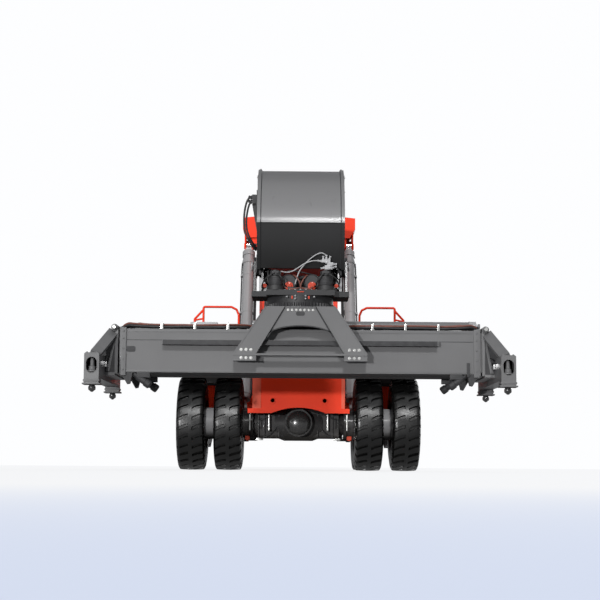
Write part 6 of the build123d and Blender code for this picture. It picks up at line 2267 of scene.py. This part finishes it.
# floor, backdrop and lights
studio = {
    "floorShade": (0.84, 0.86, 0.90),
    "floorTint": (0.68, 0.75, 0.92),        # the bluer floor in front of the machine
    "floorShine": 0.35,                     # how much of the pale floor shows in reflections
    "tintPlace": (0, -25.8),
    "tintFrom": 5.0,                        # distance from that place
    "tintTo": 0.2,
    "floorBounce": (0.18, 0.18, 0.185),     # what the floor sends back up at the machine
    "floorGlow": 0.82,                      # share of the seen floor that is plain white
    "skyShade": (0.985, 0.99, 1.0),
    "fill": 0.27,
    "suns": (                               # name, where it stands, strength, width in degrees
        ("key", (0.6, -20, 12.5), 1.25, 5),
        ("front", (-7.5, -20, 2.45), 1.65, 1.5),
        ("left", (-15, -12, 5), 0.30, 30),
        ("top", (2, -2, 18), 0.45, 50),
        ("behind", (8, 18, 9), 0.85, 40),
    ),
}


def floorFinish():
    # pale to the camera and in reflections, dark where its light would fall on the machine
    make = Finish("floorPaint")
    cloud = make.noise(0.25, 3)
    pale = tuple(min(1, shade + 0.03) for shade in studio["floorShade"])
    seenShade = make.blend(cloud, studio["floorShade"], pale)
    lightPath = make.node("ShaderNodeLightPath").socket.node.outputs
    seen = [Wire(make, lightPath[name]) for name in ("Is Camera Ray", "Is Glossy Ray", "Is Transmission Ray")]
    anyRay = seen[0] + seen[1] * studio["floorShine"] + seen[2]
    plain = {"Roughness": 0.8, "Specular IOR Level": 0.1}
    aside, along = (axis - place for axis, place in zip(make.axes(), studio["tintPlace"]))
    distance = make.node("ShaderNodeMath", {"operation": "SQRT"}, {0: aside * aside + along * along})
    tint = make.between(distance, studio["tintFrom"], studio["tintTo"])
    glowShade = make.blend(tint, studio["skyShade"], studio["floorTint"])
    glow = make.node("ShaderNodeEmission", {}, {"Color": glowShade, "Strength": 1.0})
    matt = make.node("ShaderNodeBsdfPrincipled", {}, {"Base Color": seenShade, **plain})
    dark = make.node("ShaderNodeBsdfPrincipled", {}, {"Base Color": (*studio["floorBounce"], 1), **plain})
    light = make.node("ShaderNodeMixShader", {}, {0: studio["floorGlow"], 1: matt, 2: glow})
    both = make.node("ShaderNodeMixShader", {}, {0: anyRay, 1: dark, 2: light})
    make.node("ShaderNodeOutputMaterial", {}, {"Surface": both})
    return make.material


floorData = bpy.data.meshes.new("floor")
reach = 400
floorData.from_pydata(
    [(-reach, -reach, 0), (reach, -reach, 0), (reach, reach, 0), (-reach, reach, 0)], [], [(0, 1, 2, 3)]
)
floorData.materials.append(floorFinish())
floor = bpy.data.objects.new("floor", floorData)
bpy.context.scene.collection.objects.link(floor)
floor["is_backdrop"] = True

world = bpy.data.worlds.new("studio")
bpy.context.scene.world = world
world.use_nodes = True
worldTree = world.node_tree
worldTree.nodes.clear()
seen = worldTree.nodes.new("ShaderNodeBackground")
seen.inputs[0].default_value = (*studio["skyShade"], 1)
lit = worldTree.nodes.new("ShaderNodeBackground")
lit.inputs[0].default_value = (0.95, 0.97, 1.0, 1)
lit.inputs[1].default_value = studio["fill"]
rays = worldTree.nodes.new("ShaderNodeLightPath")
anyRay = worldTree.nodes.new("ShaderNodeMath")
anyRay.operation = "MAXIMUM"
worldTree.links.new(rays.outputs["Is Camera Ray"], anyRay.inputs[0])
worldTree.links.new(rays.outputs["Is Transmission Ray"], anyRay.inputs[1])
swap = worldTree.nodes.new("ShaderNodeMixShader")
worldTree.links.new(anyRay.outputs[0], swap.inputs[0])
worldTree.links.new(lit.outputs[0], swap.inputs[1])
worldTree.links.new(seen.outputs[0], swap.inputs[2])
worldOut = worldTree.nodes.new("ShaderNodeOutputWorld")
worldTree.links.new(swap.outputs[0], worldOut.inputs[0])

for name, place, strength, width in studio["suns"]:
    lamp = bpy.data.lights.new(name, "SUN")
    lamp.energy = strength
    lamp.angle = math.radians(width)
    lampObject = bpy.data.objects.new(name, lamp)
    lampObject.location = place
    lampObject.rotation_euler = (Vector((0, 0, 2)) - Vector(place)).to_track_quat("-Z", "Y").to_euler()
    bpy.context.scene.collection.objects.link(lampObject)
bpy.context.scene.view_settings.view_transform = "Standard"
print("studio ready")

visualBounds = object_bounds()
for corner in (*cadBounds, *visualBounds):
    [round(part, 4) for part in corner]
